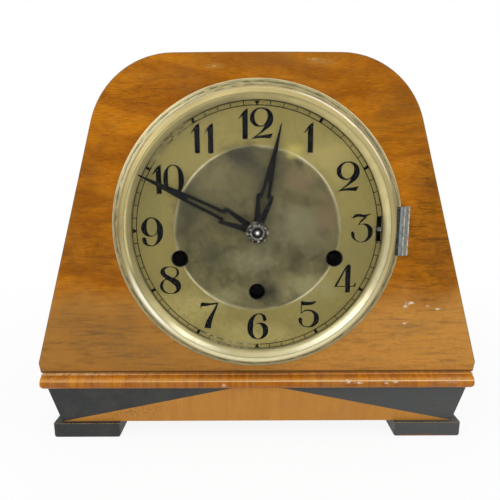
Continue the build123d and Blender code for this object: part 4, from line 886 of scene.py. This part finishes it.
def plain_metal(name, colour, stain, metallic, rough, scale=0.12, gloss=0.5):
    """Metal with small stains: its colour, the colour of the stains, and its gloss."""
    coat = Coat(name, scale, colour=colour)
    coat.paint(stain, coat.dirt, 0.35)
    coat.paint(stain, coat.step(coat.fine, 0.5, 0.7), 0.3)
    return coat.done((rough, rough + 0.14), metallic, gloss, coat.fine, 0.06)


def ink_finish(dial):
    """Blue-black print, a little thin in places and rubbed along two stretches of the track."""
    coat = Coat("dial ink", 0.3, colour=dial.ink)
    coat.paint((0.045, 0.045, 0.035), coat.step(coat.fine, 0.52, 0.75), 0.3)
    patchy = coat.step(coat.noise(coat.at, 0.35, 3.0), 0.4, 0.6, 0.0, 0.65)
    track = coat.step(coat.zone["Radius"], 73.6, 74.2)
    for start, end in RUBBED_ARCS:
        arc = coat.band(coat.zone["Angle"], start, end, 0.06)
        coat.paint((0.42, 0.39, 0.27), arc, patchy, track)
    return coat.done((0.5, 0.65), gloss=0.02)


def nut_finish():
    """Dark mottled brass with bright specks, black in the countersink, and a painted highlight ring round the
    countersink's rim.
    """
    coat = Coat("hand nut brass", 0.08)
    radius = coat.zone["Radius"]
    coat.colour = coat.mix(coat.step(coat.fine, 0.55, 0.62), (0.016, 0.014, 0.011), (0.42, 0.39, 0.33))
    coat.paint((0.01, 0.009, 0.008), coat.step(radius, 3.9, 3.5))
    # Painted highlight: a pale ring round the countersink's rim.
    coat.paint((0.4, 0.38, 0.35), coat.band(radius, 3.4, 4.4, 0.3, 0.4), 0.35)
    return coat.done((0.4, 0.55), gloss=0.06)


def plate_finish(metal):
    """Movement brass, with painted shade, black, round the winding arbors."""
    coat = Coat("oiled front plate", colour=metal.brass)
    # Painted shade: the plate is black round the winding arbors, where the holes look in.
    hole_shade = coat.near_winding(13.0, 17.0)
    coat.paint(BRASS_STAIN, coat.dirt, 0.35)
    coat.paint((0.004, 0.004, 0.004), hole_shade)
    metallic = coat.maths("SUBTRACT", 0.9, coat.times(hole_shade, 0.9))
    return coat.done((0.3, 0.45), metallic, gloss=0.1)


def arbor_finish(metal):
    """Movement brass, with a grey tip in front and a painted highlight in its middle."""
    coat = Coat("centre arbor and wheel", colour=metal.brass)
    # Painted highlight: the tip is pale only within its middle.
    bright = coat.step(coat.zone["Radius"], 1.6, 0.3)
    tip = coat.mix(bright, (0.02, 0.018, 0.015), (0.75, 0.73, 0.68))
    coat.paint(BRASS_STAIN, coat.dirt, 0.5)
    coat.paint(tip, coat.step(coat.parts["Y"], -64.0, -65.0))
    return coat.done((0.28, 0.42), metallic=0.85, gloss=0.2)


def finish_nodes(material, *names):
    """Gives solids of the frame a material."""
    for name in names:
        slots = frame["nodes"][name].data.materials
        slots.clear()
        slots.append(material)


def put_in_scene(name, data):
    """A new object with that mesh, curve, lamp or camera, in the scene."""
    thing = bpy.data.objects.new(name, data)
    bpy.context.scene.collection.objects.link(thing)
    return thing


def as_mesh(name, shape):
    """A mesh made of a shape, which is used up."""
    mesh = bpy.data.meshes.new(name)
    shape.to_mesh(mesh)
    shape.free()
    return mesh


def new_piece(name, shape, material, body):
    """Puts a finished shape in the scene, doubles merged and faces turned outwards, on its body."""
    bmesh.ops.remove_doubles(shape, verts=shape.verts, dist=MERGE)
    bmesh.ops.recalc_face_normals(shape, faces=shape.faces)
    for face in shape.faces:
        face.smooth = False
    mesh = as_mesh(name, shape)
    mesh.materials.append(material)
    piece = put_in_scene(name, mesh)
    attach(piece, body)
    return piece


def spun_part(shape, profile, height, steps, closed=False):
    """Turns a profile of radius and depth about the front-to-back line at that height."""
    verts = [shape.verts.new((radius, depth, height)) for radius, depth in profile]
    following = verts[1:] + verts[:1] if closed else verts[1:]
    edges = [shape.edges.new(pair) for pair in zip(verts, following)]
    bmesh.ops.spin(
        shape,
        geom=verts + edges,
        cent=(0.0, 0.0, height),
        axis=(0.0, 1.0, 0.0),
        angle=math.tau,
        steps=steps,
        use_merge=True,
    )


def figure_spline(curve, outline, shift):
    """One closed outline of a figure, with its sharp and smooth points."""
    spline = curve.splines.new("BEZIER")
    spline.use_cyclic_u = True
    spline.resolution_u = FIGURE_STEPS
    spline.bezier_points.add(len(outline) - 1)
    for point, (x, y, *corner) in zip(spline.bezier_points, outline):
        point.co = ((x + shift) / FIGURE_UNITS * MM, -y / FIGURE_UNITS * MM, 0.0)
        point.handle_left_type = point.handle_right_type = "VECTOR" if corner else "AUTO"


def print_numeral(hour, dial, ink):
    """One hour's figures as thin print on the dial."""
    (across, up), figures = HOURS[hour]
    curve = bpy.data.curves.new("numeral", "CURVE")
    curve.dimensions = "2D"
    curve.fill_mode = "BOTH"
    curve.extrude = dial.ink_thickness / 2
    for figure, shift in figures:
        for outline in FIGURES[figure]:
            figure_spline(curve, outline, shift)
    drawing = put_in_scene("numeral drawing", curve)
    bpy.context.view_layer.update()
    mesh = bpy.data.meshes.new_from_object(drawing)
    bpy.data.objects.remove(drawing)
    bpy.data.curves.remove(curve)
    front = DIAL_FRONT - dial.ink_thickness / 2 - PRINT_GAP
    spot = Matrix.Translation((across * MM, front, DIAL_Z + up * MM))
    mesh.transform(spot @ Matrix.Rotation(QUARTER, 4, "X"))
    shape = bmesh.new()
    shape.from_mesh(mesh)
    bpy.data.meshes.remove(mesh)
    new_piece(f"numeral_{hour}", shape, ink, "case")


def add_block(shape, size, matrix):
    """A thin printed stroke: a block of that size, placed by a matrix."""
    bmesh.ops.create_cube(shape, size=1.0, matrix=matrix @ Matrix.Diagonal((*size, 1.0)))


def around(angle, radius, depth):
    """A place on the dial at that angle from twelve, clockwise, its z pointing outwards."""
    turned = Matrix.Translation((0.0, depth, DIAL_Z)) @ Matrix.Rotation(angle, 4, "Y")
    return turned @ Matrix.Translation((0.0, 0.0, radius))


def knurled_nut():
    """The hand nut: a countersunk disc with a knurled edge, in the place of its solid."""
    radius = (NUT_HIGH.x - NUT_LOW.x) / 2
    face, seat = NUT_LOW.y, NUT_HIGH.y
    bore = 2.85 * MM
    profile = [
        (bore, face + 1.3 * MM),
        (3.3 * MM, face + 0.8 * MM),
        (3.7 * MM, face + 0.1 * MM),
        (4.5 * MM, face),
        (radius - 0.5 * MM, face + 0.3 * MM),
        (radius, face + 0.9 * MM),
        (radius, seat - 0.5 * MM),
        (radius - 0.6 * MM, seat),
        (bore, seat),
        (bore, face + 1.3 * MM),
    ]
    shape = bmesh.new()
    spun_part(shape, profile, DIAL_Z, KNURL_STEPS)
    bmesh.ops.remove_doubles(shape, verts=shape.verts, dist=MERGE)
    for vert in shape.verts:
        across, up = vert.co.x, vert.co.z - DIAL_Z
        drawn_in = round(math.atan2(up, across) / math.tau * KNURL_STEPS) % 2
        if drawn_in and math.hypot(across, up) > radius - 0.1 * MM:
            vert.co.x *= KNURL_DEPTH
            vert.co.z = DIAL_Z + up * KNURL_DEPTH
    return shape


def leaf_screws(node):
    """Two places on each hinge leaf of a node, on the leaf's outer face."""
    corners = [vert.co.copy() for vert in frame["nodes"][node].data.vertices]
    heights = [corner.z for corner in corners]
    split = (min(heights) + max(heights)) / 2
    for leaf in ([c for c in corners if c.z < split], [c for c in corners if c.z >= split]):
        left, right = min(c.x for c in leaf), max(c.x for c in leaf)
        low, high = min(c.z for c in leaf), max(c.z for c in leaf)
        far = left if BACK_HINGE_X - left > right - BACK_HINGE_X else right
        across = (far + BACK_HINGE_X) / 2
        face = max(c.y for c in leaf if abs(c.x - across) < LEAF_REACH)
        for share in SCREW_SHARES:
            yield Vector((across, face, low + (high - low) * share))


def add_screw(shape, centre):
    """A domed slotted head of 3.4 mm on a face that looks to the back."""
    head = bmesh.new()
    spun_part(head, [(radius * MM, height * MM) for radius, height in SCREW_DOME], 0.0, SCREW_STEPS)
    bmesh.ops.remove_doubles(head, verts=head.verts, dist=MERGE)
    half_width, depth = SCREW_SLOT
    for side in (-half_width, half_width):
        whole = head.verts[:] + head.edges[:] + head.faces[:]
        bmesh.ops.bisect_plane(head, geom=whole, plane_co=(0.0, 0.0, side * MM), plane_no=(0.0, 0.0, 1.0))
    for vert in head.verts:
        if abs(vert.co.z) < 0.1 * MM:
            vert.co.y -= depth * MM
    bmesh.ops.translate(head, verts=head.verts, vec=centre)
    mesh = as_mesh("screw", head)
    shape.from_mesh(mesh)
    bpy.data.meshes.remove(mesh)


def stage_lamp(name, place, size, power):
    """A square soft lamp that points at the clock."""
    light = bpy.data.lights.new(name, "AREA")
    light.shape = "SQUARE"
    light.size = size
    light.energy = power
    lamp = put_in_scene(name, light)
    lamp.location = place
    lamp.rotation_euler = (LAMP_TARGET - Vector(place)).to_track_quat("-Z", "Y").to_euler()


def white_rays(nodes):
    """1 for camera, glossy and transmission rays, 0 for the rays that light the object."""
    path = nodes.add("LightPath")
    seen = nodes.maths("MAXIMUM", path["Is Camera Ray"], path["Is Glossy Ray"])
    return nodes.maths("MAXIMUM", seen, path["Is Transmission Ray"])


def stage_world(stage):
    """Even light all round, and a white background."""
    world = bpy.data.worlds.new("studio")
    bpy.context.scene.world = world
    world.use_nodes = True
    nodes = Nodes(world.node_tree)
    light = nodes.add("Background", Color=WHITE, Strength=stage.world_light)["Background"]
    white = nodes.add("Background", Color=WHITE, Strength=1.0)["Background"]
    nodes.add("OutputWorld", Surface=nodes.add("MixShader", white_rays(nodes), light, white)["Shader"])


def stage_floor(stage):
    """A wide pale floor that keeps a soft shadow."""
    shape = bmesh.new()
    bmesh.ops.create_grid(shape, x_segments=8, y_segments=8, size=FLOOR_SIZE)
    mesh = as_mesh("floor", shape)
    material = bpy.data.materials.new("pale floor")
    material.use_nodes = True
    nodes = Nodes(material.node_tree)
    matt = nodes.add("BsdfDiffuse", Color=(0.9, 0.9, 0.9))["BSDF"]
    white = nodes.add("Emission", Color=WHITE, Strength=1.0)["Emission"]
    flat = nodes.vector("MULTIPLY", nodes.add("TexCoord")["Object"], (1.0, 1.0, 0.0))
    away = nodes.vector("LENGTH", flat, out="Value")
    white_here = nodes.times(white_rays(nodes), nodes.step(away, *FLOOR_FADE, stage.floor_white, 1.0))
    nodes.add("OutputMaterial", Surface=nodes.add("MixShader", white_here, matt, white)["Shader"])
    mesh.materials.append(material)
    floor = put_in_scene("floor", mesh)


def stage_camera(stage):
    """The camera at the photograph's place and angle."""
    yaw, pitch, roll = stage.camera_yaw, stage.camera_pitch, stage.camera_roll
    right = Vector((math.cos(yaw), -math.sin(yaw), 0.0))
    ahead = Vector((math.sin(yaw) * math.cos(pitch), math.cos(yaw) * math.cos(pitch), math.sin(pitch)))
    up = right.cross(ahead)
    side = math.cos(roll) * right + math.sin(roll) * up
    top = -math.sin(roll) * right + math.cos(roll) * up
    data = bpy.data.cameras.new("camera")
    data.sensor_width = PICTURE_WIDTH
    data.sensor_fit = "HORIZONTAL"
    data.lens = stage.camera_lens
    data.clip_start = NEAREST
    camera = put_in_scene("camera", data)
    turned = Matrix((side, top, -ahead)).transposed().to_4x4()
    camera.matrix_world = Matrix.Translation(stage.camera_place) @ turned
    bpy.context.scene.camera = camera


class CLOCK_OT_case(bpy.types.Operator):
    """Veneers the board and the hood, and finishes the moulding, the plinth, the feet and the back."""

    bl_idname = "clock.case"
    bl_label = "Case wood"

    def execute(self, context):
        finish = context.scene.clock_case
        finish_nodes(worn_veneer("front veneer", finish, front=True), "front_board")
        finish_nodes(worn_veneer("hood veneer", finish, (QUARTER, 0.0, 0.0)), "case_hood")
        finish_nodes(moulding_finish(finish), "base_moulding")
        finish_nodes(panel_finish(finish), "plinth_front")
        finish_nodes(black_finish(finish), "plinth_frame", "plinth_wedges", "feet")
        finish_nodes(back_finish(finish), "back_frame", "back_door")
        return {"FINISHED"}


class CLOCK_OT_bezel(bpy.types.Operator):
    """Finishes the bezel, its glass and its hinge."""

    bl_idname = "clock.bezel"
    bl_label = "Bezel"

    def execute(self, context):
        metal = context.scene.clock_metal
        finish_nodes(bezel_finish(metal), "bezel_ring")
        finish_nodes(sight_finish(), "sight_ring")
        finish_nodes(glass_finish(), "bezel_glass")
        finish_nodes(hinge_finish(metal), "case_hinge_leaf", "bezel_hinge_leaf")
        return {"FINISHED"}


class CLOCK_OT_dial(bpy.types.Operator):
    """Finishes the dial plate."""

    bl_idname = "clock.dial"
    bl_label = "Dial"

    def execute(self, context):
        finish_nodes(dial_finish(context.scene.clock_dial), "dial_plate")
        return {"FINISHED"}


class CLOCK_OT_numerals(bpy.types.Operator):
    """Prints the twelve hour figures on the dial."""

    bl_idname = "clock.numerals"
    bl_label = "Numerals"

    def execute(self, context):
        dial = context.scene.clock_dial
        ink = ink_finish(dial)
        for hour in HOURS:
            print_numeral(hour, dial, ink)
        return {"FINISHED"}


class CLOCK_OT_minute_track(bpy.types.Operator):
    """Prints the minute circles, strokes, hour bars and triangles, leaving the slot's minutes free."""

    bl_idname = "clock.minute_track"
    bl_label = "Minute track"

    def execute(self, context):
        dial = context.scene.clock_dial
        thick, width = dial.ink_thickness, dial.line_width
        back = DIAL_FRONT - PRINT_GAP
        front = back - thick
        span = dial.track_outer - dial.track_inner
        shape = bmesh.new()
        for radius in (dial.track_outer, dial.track_inner):
            inner, outer = radius - width / 2, radius + width / 2
            corners = [(inner, front), (outer, front), (outer, back), (inner, back)]
            spun_part(shape, corners, DIAL_Z, CIRCLE_STEPS, closed=True)
        for minute in range(60):
            if minute in SLOT_MINUTES:
                continue
            spot = around(math.radians(6.0 * minute), dial.track_inner + span / 2, (front + back) / 2)
            hour, past = divmod(minute, 5)
            if past:
                add_block(shape, (width, thick, span), spot)
            elif hour in TRIANGLE_HOURS:
                bmesh.ops.create_cone(
                    shape,
                    cap_ends=True,
                    segments=3,
                    radius1=TRIANGLE_RADIUS,
                    radius2=TRIANGLE_RADIUS,
                    depth=thick,
                    matrix=spot @ Matrix.Rotation(QUARTER, 4, "X") @ Matrix.Rotation(math.pi, 4, "Z"),
                )
            else:
                add_block(shape, (dial.bar_width, thick, span * BAR_LENGTH), spot)
        new_piece("minute_track", shape, bpy.data.materials["dial ink"], "case")
        return {"FINISHED"}


class CLOCK_OT_hands(bpy.types.Operator):
    """Blackens the hands and makes the knurled nut that holds them."""

    bl_idname = "clock.hands"
    bl_label = "Hands and nut"

    def execute(self, context):
        tone = context.scene.clock_metal.black
        black = plain_metal("blacked hands", tone, (0.014, 0.013, 0.012), 0.0, 0.5, 0.4, gloss=0.04)
        finish_nodes(black, "hour_hand", "minute_hand")
        piece = new_piece("knurled_hand_nut", knurled_nut(), nut_finish(), "minute_hand")
        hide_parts("hand_nut")
        return {"FINISHED"}


class CLOCK_OT_movement(bpy.types.Operator):
    """Finishes the movement's brass, steel and iron."""

    bl_idname = "clock.movement"
    bl_label = "Movement"

    def execute(self, context):
        metal = context.scene.clock_metal
        by_slot = {}
        for part in frame["record"]["subparts"]:
            by_slot.setdefault(part["material_slot"], []).append(part["node"])
        brass = plain_metal("movement brass", metal.brass, BRASS_STAIN, 0.9, 0.28)
        steel = plain_metal("movement steel", metal.steel, (0.2, 0.19, 0.18), 0.9, 0.3)
        # Painted shade: the winding squares, deep in their holes, are painted near black.
        hole_black = ((0.004, 0.004, 0.0045), (0.002, 0.002, 0.002))
        dark = plain_metal("oiled winding squares", *hole_black, 0.0, 0.6, gloss=0.0)
        lever = plain_metal("lever steel", (0.1, 0.1, 0.092), (0.03, 0.028, 0.026), 0.4, 0.5)
        iron = plain_metal("gong iron", (0.05, 0.05, 0.05), (0.025, 0.022, 0.02), 0.3, 0.5)
        finish_nodes(brass, *by_slot["brass"])
        finish_nodes(steel, *by_slot["steel"])
        finish_nodes(iron, *by_slot["gong_iron"])
        finish_nodes(dark, *WINDING_ARBORS)
        finish_nodes(lever, "chime_silent_lever")
        finish_nodes(plate_finish(metal), "front_plate")
        finish_nodes(arbor_finish(metal), "centre_wheel", "cannon_pinion")
        return {"FINISHED"}


class CLOCK_OT_back_screws(bpy.types.Operator):
    """Drives slotted screws through the hinge leaves at the back."""

    bl_idname = "clock.back_screws"
    bl_label = "Back screws"

    def execute(self, context):
        steel = bpy.data.materials["movement steel"]
        for node, body in (("back_hinge_leaves", "case"), ("door_hinge_leaves", "back_door")):
            shape = bmesh.new()
            for centre in leaf_screws(node):
                add_screw(shape, centre)
            new_piece(f"{node}_screws", shape, steel, body)
        return {"FINISHED"}


class CLOCK_OT_stage(bpy.types.Operator):
    """Sets up the floor, the white background, the lamps and the camera."""

    bl_idname = "clock.stage"
    bl_label = "Stage"

    def execute(self, context):
        stage = context.scene.clock_stage
        context.scene.view_settings.view_transform = "Standard"
        stage_world(stage)
        stage_floor(stage)
        for name, place, size, power in LAMPS:
            stage_lamp(name, place, size, getattr(stage, power))
        stage_camera(stage)
        return {"FINISHED"}


class CLOCK_PT_panel(bpy.types.Panel):
    """Lists the clock's finishes and its stage."""

    bl_label = "Mantel clock"
    bl_space_type = "VIEW_3D"
    bl_region_type = "UI"
    bl_category = "Clock"

    def draw(self, context):
        for operator in OPERATORS:
            self.layout.operator(operator.bl_idname)
        for name, group in SETTINGS.items():
            box = self.layout.box()
            for setting in group.__annotations__:
                box.prop(getattr(context.scene, name), setting)


SETTINGS = {
    "clock_case": CaseFinish,
    "clock_dial": DialFinish,
    "clock_metal": MetalFinish,
    "clock_stage": StageSetup,
}
OPERATORS = (
    CLOCK_OT_case,
    CLOCK_OT_bezel,
    CLOCK_OT_dial,
    CLOCK_OT_numerals,
    CLOCK_OT_minute_track,
    CLOCK_OT_hands,
    CLOCK_OT_movement,
    CLOCK_OT_back_screws,
    CLOCK_OT_stage,
)
CLASSES = (*SETTINGS.values(), *OPERATORS, CLOCK_PT_panel)


def register():
    """Registers the classes and puts the settings on the scene."""
    for cls in CLASSES:
        bpy.utils.register_class(cls)
    for name, group in SETTINGS.items():
        setattr(bpy.types.Scene, name, bpy.props.PointerProperty(type=group))


def unregister():
    """Takes the settings and the classes away again."""
    for name in SETTINGS:
        delattr(bpy.types.Scene, name)
    for cls in reversed(CLASSES):
        bpy.utils.unregister_class(cls)


def main():
    """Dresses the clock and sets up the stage."""
    register()
    bpy.ops.clock.case()
    bpy.ops.clock.bezel()
    bpy.ops.clock.dial()
    bpy.ops.clock.numerals()
    bpy.ops.clock.minute_track()
    bpy.ops.clock.hands()
    bpy.ops.clock.movement()
    bpy.ops.clock.back_screws()
    bpy.ops.clock.stage()


if __name__ == "__main__":
    main()
